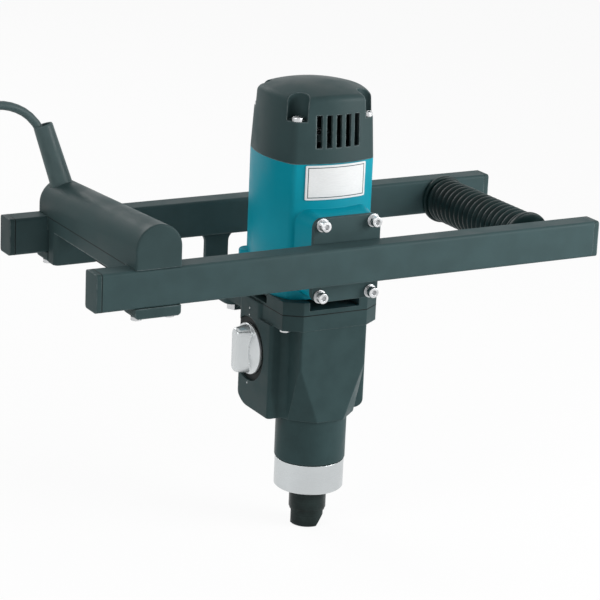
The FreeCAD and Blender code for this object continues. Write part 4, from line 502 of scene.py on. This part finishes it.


# Each finish's edge strength paints its edges lighter: partly rubbed wear, partly painted
# highlight.
FINISHES: dict[str, Finish] = {
    "bar_paint": Finish(
        "bar_powder_coat", (0.039, 0.071, 0.074), 0.52, specular=0.11,
        grain=1400.0, depth=0.000012, clouds=0.07, cloud_scale=45.0, roughness_spread=0.05,
        edge_radius=0.0009, edge_colour=PAINT_EDGE_WEAR_AND_HIGHLIGHT, edge_wear_and_highlight=0.30,
    ),
    "dark_casting": Finish(
        "cast_paint", (0.031, 0.058, 0.060), 0.42, specular=0.08,
        grain=1100.0, depth=0.000018, clouds=0.07, cloud_scale=60.0,
        edge_radius=0.0014, edge_colour=PAINT_EDGE_WEAR_AND_HIGHLIGHT, edge_wear_and_highlight=0.16,
    ),
    "dark_plastic": Finish(
        "grained_plastic", (0.035, 0.062, 0.064), 0.46, specular=0.09,
        grain=2200.0, depth=0.000016, clouds=0.08,
        edge_radius=0.0020, edge_colour=PAINT_EDGE_WEAR_AND_HIGHLIGHT, edge_wear_and_highlight=0.42,
    ),
    "teal_plastic": Finish(
        "teal_housing", (0.0, 0.262, 0.345), 0.40, specular=0.14,
        grain=2600.0, depth=0.000008, clouds=0.05, cloud_scale=18.0,
        edge_radius=0.0012, edge_colour=(0.1, 0.45, 0.55), edge_wear_and_highlight=0.10,
    ),
    "silver_plastic": Finish(
        "silver_knob", (0.70, 0.73, 0.74), 0.32, metallic=0.62,
        grain=5200.0, depth=0.000003, clouds=0.05, specks=0.1,
        edge_radius=0.0012, edge_colour=(0.75, 0.76, 0.77),
    ),
    "bare_aluminium": Finish(
        "turned_aluminium", (0.60, 0.63, 0.64), 0.24, metallic=1.0, anisotropy=0.75,
        grain=2400.0, depth=0.000002, clouds=0.05, edge_radius=0.0006,
        pattern=Pattern.TURNED, pattern_scale=5200.0, pattern_depth=0.000004,
    ),
    "zinc_steel": Finish(
        "zinc_plating", (0.60, 0.61, 0.62), 0.28, metallic=1.0,
        grain=3000.0, depth=0.000005, clouds=0.10, cloud_scale=220.0, edge_radius=0.0004,
    ),
    "gear_steel": Finish(
        "machined_steel", (0.42, 0.42, 0.43), 0.34, metallic=1.0,
        grain=2600.0, depth=0.000003, clouds=0.1, edge_radius=0.0003,
        pattern=Pattern.TURNED, pattern_scale=4200.0, pattern_depth=0.000003,
    ),
    "black_steel": Finish(
        "blackened_steel", (0.014, 0.023, 0.022), 0.34, metallic=0.2, specular=0.15,
        grain=1800.0, depth=0.000005, clouds=0.3, cloud_scale=90.0,
        edge_radius=0.0006, edge_colour=(0.24, 0.22, 0.2), edge_wear_and_highlight=0.3,
        pattern=Pattern.TURNED, pattern_scale=3600.0, pattern_depth=0.000003,
    ),
    "lamination": Finish(
        "stacked_sheets", (0.24, 0.24, 0.25), 0.45, metallic=0.9,
        pattern=Pattern.STACKED, pattern_scale=6280.0, pattern_depth=0.00003,
    ),
    "copper": Finish(
        "enamelled_copper", (0.50, 0.20, 0.08), 0.30, metallic=0.9, coat=0.4,
        pattern=Pattern.WOUND, pattern_scale=4200.0, pattern_depth=0.00005,
    ),
    "brass": Finish(
        "satin_brass", (0.62, 0.45, 0.18), 0.32, metallic=1.0,
        pattern=Pattern.BRUSHED, pattern_depth=0.000004,
    ),
    "carbon": Finish(
        "sintered_carbon", (0.02, 0.02, 0.021), 0.6, grain=3200.0, specks=0.08,
    ),
    "black_rubber": Finish(
        "moulded_rubber", (0.008, 0.022, 0.022), 0.36, specular=0.15,
        grain=1900.0, depth=0.000008, clouds=0.2, cloud_scale=70.0, edge_radius=0.0004,
    ),
    "cord_rubber": Finish(
        "lead_sheath", (0.070, 0.108, 0.110), 0.45, specular=0.2,
        grain=2600.0, depth=0.000010, clouds=0.10, cloud_scale=60.0, edge_radius=0.0004,
    ),
    "plate_metal": Finish(
        "blank_plate", (0.75, 0.76, 0.76), 0.42,
        grain=1800.0, depth=0.000002, clouds=0.04, edge_radius=0.0003,
        pattern=Pattern.FRAMED, pattern_scale=2400.0, pattern_depth=0.000002,
    ),
    "switch_plastic": Finish(
        "smooth_plastic", (0.008, 0.013, 0.013), 0.50, specular=0.1,
        grain=2600.0, depth=0.000008, clouds=0.1, edge_radius=0.0003,
    ),
}


class Workshop:
    """Makes pieces from finished meshes, and keeps the materials."""

    def __init__(self) -> None:
        """Build the shared effects and one material for each finish."""
        self.effects = SharedEffects()
        self.materials = {slot: finish.build(self.effects) for slot, finish in FINISHES.items()}

    def dress(self, node: str, slot: str) -> None:
        """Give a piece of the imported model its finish.

        Args:
            node: name of the piece.
            slot: finish to give it.
        """
        piece = frame["nodes"][node]
        if not piece.material_slots:
            piece.data.materials.append(self.materials[slot])
        for place in piece.material_slots:
            place.material = self.materials[slot]
        log.info("dressed %s as %s", node, slot)

    def piece(
        self, name: str, shape: Shape, slot: str, body: Body, sharp: float = 35.0
    ) -> bpy.types.Object:
        """Turn a finished shape into a piece that rides on a body.

        Args:
            name: name of the piece.
            shape: its mesh, which is freed here.
            slot: finish slot.
            body: body that it rides on.
            sharp: edges that turn by more than this many degrees stay sharp.

        Returns:
            The new piece.
        """
        bmesh.ops.remove_doubles(shape, verts=shape.verts, dist=JOIN_METRES)
        bmesh.ops.recalc_face_normals(shape, faces=shape.faces)
        mesh = bpy.data.meshes.new(name)
        shape.to_mesh(mesh)
        shape.free()
        mesh.shade_smooth()
        mesh.set_sharp_from_angle(angle=math.radians(sharp))
        piece = bpy.data.objects.new(name, mesh)
        bpy.context.scene.collection.objects.link(piece)
        mesh.materials.append(self.materials[slot])
        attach(piece, body.value)
        log.info("made %s, %d faces", name, len(mesh.polygons))
        return piece


def spun(profile: Profile, origin: Point, direction: Point, steps: int = 64) -> Shape:
    """Turn a profile full round an axis.

    Args:
        profile: radius and height of each point, in millimetres, along the axis.
        origin: point on the axis where the height is 0, in millimetres.
        direction: direction of the axis.
        steps: number of steps of the turn.

    Returns:
        The turned shape in metres.
    """
    shape = bmesh.new()
    points = [shape.verts.new((radius, 0.0, height)) for radius, height in profile]
    edges = [shape.edges.new(pair) for pair in zip(points, points[1:])]
    bmesh.ops.spin(
        shape, geom=points + edges, cent=(0, 0, 0), axis=(0, 0, 1),
        angle=math.tau, steps=steps, use_merge=True,
    )
    bmesh.ops.remove_doubles(shape, verts=shape.verts, dist=JOIN_MILLIMETRES)
    turn = Vector((0, 0, 1)).rotation_difference(Vector(direction)).to_matrix().to_4x4()
    place = Matrix.Scale(MM, 4) @ Matrix.Translation(origin) @ turn
    bmesh.ops.transform(shape, matrix=place, verts=shape.verts)
    return shape


def arc(centre: Pair, radius: float, start: float, end: float, count: int) -> Profile:
    """Points on an arc of a profile.

    Args:
        centre: radius and height of its centre.
        radius: its radius.
        start: first angle in degrees, 0 along the radius and 90 along the height.
        end: last angle.
        count: number of steps.

    Returns:
        The points of the arc.
    """
    angles = [math.radians(start + (end - start) * i / count) for i in range(count + 1)]
    return [(centre[0] + radius * math.cos(a), centre[1] + radius * math.sin(a)) for a in angles]


def block(size: Vector, middle: Vector) -> Shape:
    """Block with sharp edges.

    Args:
        size: its size in millimetres.
        middle: its middle in millimetres.

    Returns:
        The block in metres.
    """
    shape = bmesh.new()
    bmesh.ops.create_cube(shape, size=1.0)
    bmesh.ops.scale(shape, vec=size * MM, verts=shape.verts)
    bmesh.ops.translate(shape, vec=middle * MM, verts=shape.verts)
    return shape


def round_edges(shape: Shape, edges: list, width: float, segments: int) -> None:
    """Round edges of a shape.

    Args:
        shape: the shape in metres.
        edges: the edges to round.
        width: width of the rounding in millimetres.
        segments: steps of the rounding.
    """
    bmesh.ops.bevel(
        shape, geom=edges, offset=width * MM, segments=segments,
        profile=0.5, affect="EDGES", material=-1,
    )


def bevelled_block(low: Point, high: Point, width: float, segments: int = 3) -> Shape:
    """Block with rounded edges.

    Args:
        low: lowest corner in millimetres.
        high: highest corner in millimetres.
        width: width of the rounding.
        segments: steps of the rounding.

    Returns:
        The block in metres.
    """
    shape = block(Vector(high) - Vector(low), (Vector(high) + Vector(low)) / 2)
    round_edges(shape, shape.edges[:], width, segments)
    return shape


def band(size: Point, middle: Point, axis: int, corner: float, thickness: float) -> Shape:
    """Thin band round a block, open along one axis.

    Args:
        size: outer size in millimetres.
        middle: its middle in millimetres.
        axis: 0 for X, 1 for Y or 2 for Z, the direction of its opening.
        corner: rounding of its four corners.
        thickness: thickness of the band.

    Returns:
        The band in metres.
    """
    shape = block(Vector(size), Vector(middle))
    reach = size[axis] * MM / 2
    along = [e for e in shape.edges if abs(e.verts[0].co[axis] - e.verts[1].co[axis]) > reach]
    round_edges(shape, along, corner, BAND_STEPS)
    bmesh.ops.recalc_face_normals(shape, faces=shape.faces)
    ends = [f for f in shape.faces if abs(f.normal[axis]) > END_FACING]
    bmesh.ops.delete(shape, geom=ends, context="FACES_ONLY")
    bmesh.ops.recalc_face_normals(shape, faces=shape.faces)
    bmesh.ops.solidify(shape, geom=shape.faces[:], thickness=thickness * MM)
    return shape


def merged(shapes: list[Shape]) -> Shape:
    """Put several shapes into one mesh.

    Args:
        shapes: the shapes, which are freed here.

    Returns:
        One shape with all of them.
    """
    whole = bmesh.new()
    for shape in shapes:
        carrier = bpy.data.meshes.new("carrier")
        shape.to_mesh(carrier)
        shape.free()
        whole.from_mesh(carrier)
        bpy.data.meshes.remove(carrier)
    return whole


@dataclass(frozen=True)
class PhotoCamera:
    """Camera at the photo's view, for an image of 600 by 600."""

    image: float = 600.0
    focal: float = 2462.09
    yaw: float = -29.443
    pitch: float = 16.764
    roll: float = 2.508
    place: Point = (-0.9485, -1.6536, 0.7654)
    sensor: float = 36.0
    far_limit: float = 30.0

    def build(self) -> None:
        """Make the camera and set it as the scene's own."""
        yaw, pitch, roll = (math.radians(angle) for angle in (self.yaw, self.pitch, self.roll))
        back = Vector((
            math.sin(yaw) * math.cos(pitch), -math.cos(yaw) * math.cos(pitch), math.sin(pitch),
        ))
        level = Vector((math.cos(yaw), math.sin(yaw), 0.0))
        rise = back.cross(level)
        right = math.cos(roll) * level + math.sin(roll) * rise
        up = math.cos(roll) * rise - math.sin(roll) * level
        data = bpy.data.cameras.new("photo_camera")
        data.sensor_width = self.sensor
        data.lens = self.sensor * self.focal / self.image
        data.clip_end = self.far_limit
        camera = bpy.data.objects.new("photo_camera", data)
        turn = Matrix((right, up, back)).transposed().to_4x4()
        camera.matrix_world = Matrix.Translation(self.place) @ turn
        bpy.context.scene.collection.objects.link(camera)
        bpy.context.scene.camera = camera
        log.info("camera at %s", self.place)


@dataclass(frozen=True)
class Lamp:
    """One soft square lamp of the studio."""

    name: str
    place: Point
    aim: Point
    size: float
    power: float

    def build(self) -> None:
        """Hang the lamp and turn it to its aim."""
        data = bpy.data.lights.new(self.name, "AREA")
        data.shape = "SQUARE"
        data.size = self.size
        data.energy = self.power
        lamp = bpy.data.objects.new(self.name, data)
        lamp.location = self.place
        towards = Vector(self.aim) - Vector(self.place)
        lamp.rotation_euler = towards.to_track_quat("-Z", "Y").to_euler()
        bpy.context.scene.collection.objects.link(lamp)


@dataclass
class Studio:
    """Plain soft light, a white surround and a white floor that keeps the shadow."""

    ambient: float = 0.31
    floor_half: float = 4.0
    floor_drop: float = 0.0005
    floor_roughness: float = 0.9
    shadow_share: float = 0.08
    lamps: list[Lamp] = field(default_factory=lambda: [
        Lamp("key_lamp", (0.85, -0.80, 0.55), (0.0, 0.0, 0.22), 0.7, 14.0),
        Lamp("fill_lamp", (-1.8, -0.5, 1.2), (0.0, 0.0, 0.25), 1.0, 12.5),
        Lamp("back_lamp", (-0.4, 1.9, 1.4), (0.0, 0.0, 0.2), 1.2, 14.0),
    ])

    def build(self) -> None:
        """Make world, floor and lamps."""
        bpy.context.scene.view_settings.view_transform = "Standard"
        self._world()
        self._floor()
        for lamp in self.lamps:
            lamp.build()
        log.info("studio with %d lamps", len(self.lamps))

    @staticmethod
    def _seen(wiring: Wiring) -> Socket:
        """Mask of the rays that show the surround as plain white.

        Args:
            wiring: wiring of the world or material.

        Returns:
            A socket that is 1 for camera, glossy and transmission rays.
        """
        path = wiring.add("ShaderNodeLightPath")
        first = wiring.math("MAXIMUM", path.outputs["Is Camera Ray"], path.outputs["Is Glossy Ray"])
        return wiring.math("MAXIMUM", first, path.outputs["Is Transmission Ray"])

    def _world(self) -> None:
        """White to look at, and an even level to light with."""
        world = bpy.data.worlds.new("studio")
        world.use_nodes = True
        bpy.context.scene.world = world
        wiring = Wiring(world.node_tree)
        background = world.node_tree.nodes["Background"]
        background.inputs["Color"].default_value = WHITE
        strength = wiring.steps(self._seen(wiring), 0.0, 1.0, self.ambient, 1.0)
        wiring.link(strength, background.inputs["Strength"])

    def _floor(self) -> None:
        """Pale floor under the spindle's mouth."""
        shape = bmesh.new()
        bmesh.ops.create_grid(shape, x_segments=1, y_segments=1, size=self.floor_half)
        bmesh.ops.translate(shape, vec=(0, 0, -self.floor_drop), verts=shape.verts)
        mesh = bpy.data.meshes.new("floor")
        shape.to_mesh(mesh)
        shape.free()
        floor = bpy.data.objects.new("floor", mesh)
        bpy.context.scene.collection.objects.link(floor)
        material = bpy.data.materials.new("pale_floor")
        material.use_nodes = True
        wiring = Wiring(material.node_tree)
        shader = material.node_tree.nodes["Principled BSDF"]
        wiring.feed_all(shader, {
            "Base Color": WHITE, "Roughness": self.floor_roughness, "Specular IOR Level": 0.0,
        })
        glow = wiring.add("ShaderNodeEmission")
        blend = wiring.add("ShaderNodeMixShader")
        share = wiring.math("MULTIPLY", self._seen(wiring), 1.0 - self.shadow_share)
        wiring.link(share, blend.inputs[0])
        wiring.link(shader.outputs[0], blend.inputs[1])
        wiring.link(glow.outputs[0], blend.inputs[2])
        wiring.link(blend.outputs[0], material.node_tree.nodes["Material Output"].inputs[0])
        mesh.materials.append(material)


@dataclass
class Plug:
    """Moulded plug with a ribbed neck, a grooved body and two pins, by radius and height."""

    base: Point
    direction: Point
    foot: Outline = ((0.0, 0.0), (4.4, 0.0), (4.9, 0.5))
    rib_count: int = 5
    rib_start: float = 2.4
    rib_pitch: float = 3.8
    rib_radius: float = 5.3
    rib_growth: float = 0.45
    rib_shape: Outline = ((0.0, 0.0), (0.0, 2.0), (-0.9, 2.5), (-0.8, 3.4))
    neck_end: Pair = (7.4, 21.8)
    neck_bend: Bend = ((7.6, 25.6), 3.6, -80, -40, 3)
    shoulder: Pair = (13.2, 25.8)
    shoulder_bend: Bend = ((13.0, 29.8), 4.0, -80, 0, 5)
    radius: float = 17.0
    grooves: tuple[float, ...] = (32.6, 36.0, 39.4)
    groove_shape: Outline = ((0.0, 0.0), (-0.8, 0.5), (-0.8, 1.3), (0.0, 1.8))
    rim: float = 46.8
    rim_bend: Bend = ((15.8, 47.8), 1.2, 0, 90, 4)
    height: float = 49.0
    body_steps: int = 56
    sharp: float = 40.0
    pin_offset: float = 9.5
    pin_shape: Outline = ((0.0, 47.0), (2.4, 47.0), (2.4, 56.0), (2.25, 56.2), (2.25, 65.5))
    pin_bend: Bend = ((0.25, 65.5), 2.0, 0, 90, 5)
    pin_height: float = 67.5
    pin_steps: int = 24

    def build(self, shop: Workshop) -> list[bpy.types.Object]:
        """Turn the body and the pins.

        Args:
            shop: the workshop with the materials.

        Returns:
            Body and pins of the plug.
        """
        body = spun(self._profile(), self.base, self.direction, self.body_steps)
        plug = shop.piece("plug_body", body, "cord_rubber", Body.FRAME, self.sharp)
        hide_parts("plug")
        pin = [*self.pin_shape, *arc(*self.pin_bend), (0.0, self.pin_height)]
        x, y, z = self.base
        pins = [
            spun(pin, (x, y + side * self.pin_offset, z), self.direction, self.pin_steps)
            for side in (-1, 1)
        ]
        return [plug, shop.piece("plug_pins", merged(pins), "zinc_steel", Body.FRAME)]

    def _profile(self) -> Profile:
        """Half section of the body.

        Returns:
            Its points from the lead's end to the face.
        """
        profile = list(self.foot)
        for index in range(self.rib_count):
            low = self.rib_start + index * self.rib_pitch
            wide = self.rib_radius + index * self.rib_growth
            profile += [(wide + out, low + up) for out, up in self.rib_shape]
        profile += [self.neck_end, *arc(*self.neck_bend)]
        profile += [self.shoulder, *arc(*self.shoulder_bend)]
        for low in self.grooves:
            profile += [(self.radius + out, low + up) for out, up in self.groove_shape]
        return profile + [(self.radius, self.rim), *arc(*self.rim_bend), (0.0, self.height)]


@dataclass
class MainsLead:
    """Lead from its guard on the handle to the wound and tied length with its plug."""

    diameter: float = 7.2
    length: float = 2460.0
    route: tuple[Point, ...] = (
        (-180.595, 113.033, 290.167),
        (-190.321, 120.237, 326.188),
        (-222.893, 120.237, 345.759),
        (-259.764, 120.237, 336.566),
        (-278.764, 120.237, 303.657),
        (-279.961, 120.237, 265.676),
    )
    coil_centre_y: float = 80.837
    coil_radius: float = 39.4
    coil_pitch: float = 7.8
    coil_turns: int = 9
    points_per_turn: int = 16
    curve_order: int = 3
    curve_steps: int = 6
    section_steps: int = 5
    tail_end: Point = (-351.61, 120.237, 219.70)
    tail_direction: Point = (-0.03149, 0.0, -0.99950)
    guard_base: Point = (-176.5, 110.0, 275.0)
    guard_direction: Point = (-0.25594, 0.18958, 0.94792)
    guard_length: float = 52.0
    guard_foot: Outline = ((0.0, -11.5), (8.8, -11.5), (9.0, -11.0), (9.0, 0.0))
    guard_taper: Outline = ((8.72, 0.25), (8.45, 0.5), (8.14, 0.78))
    guard_mouth: Outline = (
        (7.95, 1.6), (7.75, 0.5), (7.35, 0.0), (6.9, 0.3), (5.9, 5.0),
        (5.0, 12.0), (4.4, 22.0), (4.2, 30.0), (0.0, 36.0),
    )
    guard_steps: int = 48
    strap_margin: float = 5.3
    strap_section: Pair = (7.6, 10.6)
    strap_corner: float = 4.0
    strap_thickness: float = 1.0
    flap_reach: Pair = (-14.0, 13.0)
    flap_half: float = 3.4
    flap_levels: Pair = (5.0, 6.4)
    flap_rounding: float = 0.6
    exit: Point = (-183.667, 115.308, 301.542)

    def build(self, shop: Workshop) -> None:
        """Make guard, tie, plug and lead.

        Args:
            shop: the workshop with the materials.
        """
        self._guard(shop)
        pieces = [self._tie(shop), *Plug(self.tail_end, self.tail_direction).build(shop)]
        self._cord(shop)

    def _cord(self, shop: Workshop) -> None:
        """Lay the lead on one smooth line.

        Args:
            shop: the workshop with the materials.
        """
        start = self.route[-1]
        step = math.tau / self.points_per_turn
        wide = self.coil_radius / math.cos(step / 2)
        points = list(self.route[:-1])
        for index in range(self.coil_turns * self.points_per_turn + 1):
            angle = index * step
            points.append((
                start[0] - self.coil_pitch * index / self.points_per_turn,
                self.coil_centre_y + wide * math.cos(angle),
                start[2] - wide * math.sin(angle),
            ))
        points.append(self.tail_end)
        data = bpy.data.curves.new("mains_lead", "CURVE")
        data.dimensions = "3D"
        spline = data.splines.new("NURBS")
        spline.points.add(len(points) - 1)
        for place, point in zip(spline.points, points):
            place.co = (*(part * MM for part in point), 1.0)
        spline.order_u = self.curve_order
        spline.use_endpoint_u = True
        spline.resolution_u = self.curve_steps
        data.bevel_depth = self.diameter / 2 * MM
        data.bevel_resolution = self.section_steps
        data.use_fill_caps = True
        lead = bpy.data.objects.new("mains_lead", data)
        bpy.context.scene.collection.objects.link(lead)
        data.materials.append(shop.materials["cord_rubber"])
        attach(lead, Body.FRAME.value)
        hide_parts("cord", "cord_coil")
        log.info("made mains_lead with %d points", len(points))

    def _guard(self, shop: Workshop) -> None:
        """Tapered rubber guard with a soft rim.

        Beside each radius, the foot has heights, the taper shares of the length, and the mouth
        depths below the top.

        Args:
            shop: the workshop with the materials.
        """
        top = self.guard_length
        profile = list(self.guard_foot)
        profile += [(radius, top * share) for radius, share in self.guard_taper]
        profile += [(radius, top - depth) for radius, depth in self.guard_mouth]
        shape = spun(profile, self.guard_base, self.guard_direction, self.guard_steps)
        guard = shop.piece("lead_guard", shape, "cord_rubber", Body.FRAME)
        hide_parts("cord_guard")

    def _tie(self, shop: Workshop) -> bpy.types.Object:
        """Soft strap round all turns, with its end folded over.

        Args:
            shop: the workshop with the materials.

        Returns:
            The tie.
        """
        x, _, z = self.route[-1]
        top = z + self.coil_radius
        x1 = x + self.strap_margin
        x0 = x - self.coil_pitch * self.coil_turns - self.strap_margin
        middle, y = (x0 + x1) / 2, self.coil_centre_y
        size = (x1 - x0, *self.strap_section)
        shape = band(size, (middle, y, top), 1, self.strap_corner, self.strap_thickness)
        low, high = (
            (middle + reach, y + side * self.flap_half, top + level)
            for reach, side, level in zip(self.flap_reach, (-1, 1), self.flap_levels)
        )
        flap = bevelled_block(low, high, self.flap_rounding)
        tie = shop.piece("coil_strap", merged([shape, flap]), "cord_rubber", Body.FRAME)
        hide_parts("coil_tie")
        return tie


@dataclass
class RibbedGrip:
    """Rubber grip sleeve with round ribs between two flanges."""

    axis_x: float = 181.0
    axis_z: float = 235.5
    start_y: float = -30.85
    length: float = 133.8
    bore: float = 11.0
    flange_radius: float = 20.7
    flange_width: float = 4.0
    flange_rounding: float = 1.2
    flange_steps: int = 4
    flange_rise: float = 4.0
    rib_radius: float = 19.0
    valley_radius: float = 16.9
    rib_count: int = 18
    rib_gap: float = 0.06
    rib_start: float = 0.10
    rib_share: float = 0.80
    rib_steps: int = 8
    rib_fullness: float = 0.55
    turn_steps: int = 72
    sharp: float = 60.0

    def build(self, shop: Workshop) -> None:
        """Turn the sleeve.

        Args:
            shop: the workshop with the materials.
        """
        profile = [(self.bore, 0.0), *self._flange(0.0)]
        pitch = (self.length - 2 * self.flange_width) / self.rib_count
        rise = self.rib_radius - self.valley_radius
        for index in range(self.rib_count):
            start = self.flange_width + index * pitch
            profile.append((self.valley_radius, start + self.rib_gap * pitch))
            for step in range(self.rib_steps + 1):
                share = step / self.rib_steps
                along = self.rib_start + self.rib_share * share
                lift = math.sin(math.pi * share) ** self.rib_fullness
                profile.append((self.valley_radius + rise * lift, start + along * pitch))
        profile += self._flange(self.length - self.flange_width)
        profile += [(self.bore, self.length), (self.bore, 0.0)]
        base = (self.axis_x, self.start_y, self.axis_z)
        shape = spun(profile, base, (0, 1, 0), self.turn_steps)
        sleeve = shop.piece("ribbed_sleeve", shape, "black_rubber", Body.FRAME, self.sharp)
        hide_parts("grip_sleeve")

    def _flange(self, low: float) -> Profile:
        """Rounded flange.

        Args:
            low: height where it starts.

        Returns:
            Its profile.
        """
        by, high = self.flange_rounding, low + self.flange_width
        inner = self.flange_radius - by
        lower = arc((inner, low + by), by, -90, 0, self.flange_steps)
        upper = arc((inner, high - by), by, 0, 90, self.flange_steps)
        return [(self.flange_radius - self.flange_rise, low), *lower, *upper]


@dataclass
class BarTrim:
    """Weld beads of the front bracket and the rear legs, and seams of the left end caps."""

    bracket_half: float = 27.0
    bracket_face: float = -44.35
    bar_low: float = 223.0
    bar_high: float = 253.0
    leg_inner: float = 25.5
    leg_outer: float = 43.5
    leg_faces: Pair = (110.95, 114.95)
    bar_middles: Pair = (-54.35, 112.95)
    cap_seam: float = -219.4
    bar_section: tuple[float, float, float] = (20.0, 30.0, 2.5)
    bead_out: float = 0.6
    bead_drop: float = 0.5
    bead_pitch: float = 1.6
    bead_radius: float = 1.3
    bead_segments: tuple[int, int] = (10, 6)
    bead_sharp: float = 60.0
    seam_width: float = 0.7
    seam_growth: float = 0.12
    seam_thickness: float = 0.2

    def build(self, shop: Workshop) -> None:
        """Lay the beads and the seams.

        Args:
            shop: the workshop with the materials.
        """
        level = self.bar_low - self.bead_drop
        front = self.bracket_face - self.bead_out
        beads = [self._bead(-self.bracket_half, self.bracket_half, front, level)]
        for low, high in ((self.leg_inner, self.leg_outer), (-self.leg_outer, -self.leg_inner)):
            beads += [self._bead(low, high, y, level) for y in self.leg_faces]
        shop.piece("bar_welds", merged(beads), "bar_paint", Body.FRAME, self.bead_sharp)
        wide, tall, corner = self.bar_section
        size = (self.seam_width, wide + self.seam_growth, tall + self.seam_growth)
        middle = (self.bar_low + self.bar_high) / 2
        seams = [
            band(size, (self.cap_seam, y, middle), 0, corner, self.seam_thickness)
            for y in self.bar_middles
        ]
        shop.piece("cap_seams", merged(seams), "switch_plastic", Body.FRAME)

    def _bead(self, start: float, end: float, y: float, z: float) -> Shape:
        """Row of overlapping weld drops along X.

        Args:
            start: left end of the row.
            end: right end of the row.
            y: depth of its line.
            z: height of its line.

        Returns:
            The bead in metres.
        """
        shape = bmesh.new()
        count = int((end - start) / self.bead_pitch)
        across, along = self.bead_segments
        for index in range(count):
            x = start + (index + 0.5) * (end - start) / count
            bmesh.ops.create_uvsphere(
                shape, u_segments=across, v_segments=along, radius=self.bead_radius * MM,
                matrix=Matrix.Translation((x * MM, y * MM, z * MM)),
            )
        return shape


@dataclass
class HandleSeams:
    """Parting line between the halves of the switch handle, on both of its sides."""

    middle_x: float = -173.0
    half: float = 19.0
    front: float = -44.0
    rear: float = 102.6
    level: float = 253.0
    width: float = 0.7
    proud: float = 0.06
    rounding: float = 0.03

    def build(self, shop: Workshop) -> None:
        """Lay the two thin lines.

        Args:
            shop: the workshop with the materials.
        """
        lines = []
        for side in (-1, 1):
            face = self.middle_x + side * self.half
            low = (face - self.proud, self.front, self.level - self.width / 2)
            high = (face + self.proud, self.rear, self.level + self.width / 2)
            lines.append(bevelled_block(low, high, self.rounding, 1))
        shop.piece("handle_seams", merged(lines), "switch_plastic", Body.FRAME)


@dataclass
class HousingJoint:
    """Dark line of the joint between the gear housing and the bearing plate."""

    half: float = 43.0
    front: float = -32.0
    rear: float = 57.0
    corner: float = 13.0
    cut: Pair = (14.0, 9.5)
    level: float = 190.0
    width: float = 0.8
    proud: float = 0.06
    thickness: float = 0.2
    corner_steps: int = 6

    def build(self, shop: Workshop) -> None:
        """Lay the line round the flange.

        Args:
            shop: the workshop with the materials.
        """
        shape = bmesh.new()
        low = (self.level - self.width / 2) * MM
        corners = [shape.verts.new((x * MM, y * MM, low)) for x, y in self._outline()]
        rim = [shape.edges.new(pair) for pair in zip(corners, corners[1:] + corners[:1])]
        grown = bmesh.ops.extrude_edge_only(shape, edges=rim)["geom"]
        upper = [part for part in grown if isinstance(part, bmesh.types.BMVert)]
        bmesh.ops.translate(shape, vec=(0.0, 0.0, self.width * MM), verts=upper)
        bmesh.ops.recalc_face_normals(shape, faces=shape.faces)
        bmesh.ops.solidify(shape, geom=shape.faces[:], thickness=self.thickness * MM)
        shop.piece("housing_joint", shape, "switch_plastic", Body.FRAME)

    def _outline(self) -> Profile:
        """Outline of the flange, with cut front corners and round rear corners.

        Returns:
            Its points in millimetres.
        """
        half, front = self.half + self.proud, self.front - self.proud
        cut_x, cut_y = self.cut
        centre = (self.half - self.corner, self.rear - self.corner)
        right = [(half - cut_x, front), (half, front + cut_y)]
        right += arc(centre, self.corner + self.proud, 0, 90, self.corner_steps)
        return right + [(-x, y) for x, y in reversed(right)]


@dataclass
class SpeedMarks:
    """Printed dots for the two speeds beside the knob."""

    face_x: float = -45.0
    y: float = 29.4
    heights: tuple[float, ...] = (181.7, 175.9, 117.7)
    radius: float = 0.8
    rounding: float = 0.1
    proud: float = 0.12
    rim: float = 0.02
    root: float = -0.05
    turn_steps: int = 20

    def build(self, shop: Workshop) -> None:
        """Print the dots on the housing's left face.

        Args:
            shop: the workshop with the materials.
        """
        face = [(0.0, self.proud), (self.radius - self.rounding, self.proud)]
        profile = face + [(self.radius, self.rim), (0.0, self.root)]
        dots = [
            spun(profile, (self.face_x, self.y, z), (-1, 0, 0), self.turn_steps)
            for z in self.heights
        ]
        shop.piece("speed_dots", merged(dots), "silver_plastic", Body.FRAME)


def main() -> None:
    """Build camera, lead and all other pieces in order."""
    logging.basicConfig(level=logging.INFO, format="%(message)s")
    PhotoCamera().build()
    shop = Workshop()
    MainsLead().build(shop)
    for part in frame["record"]["subparts"]:
        shop.dress(part["node"], part["material_slot"])
    for trim in (RibbedGrip(), BarTrim(), HandleSeams(), HousingJoint(), SpeedMarks()):
        trim.build(shop)
    Studio().build()


if __name__ == "__main__":
    main()
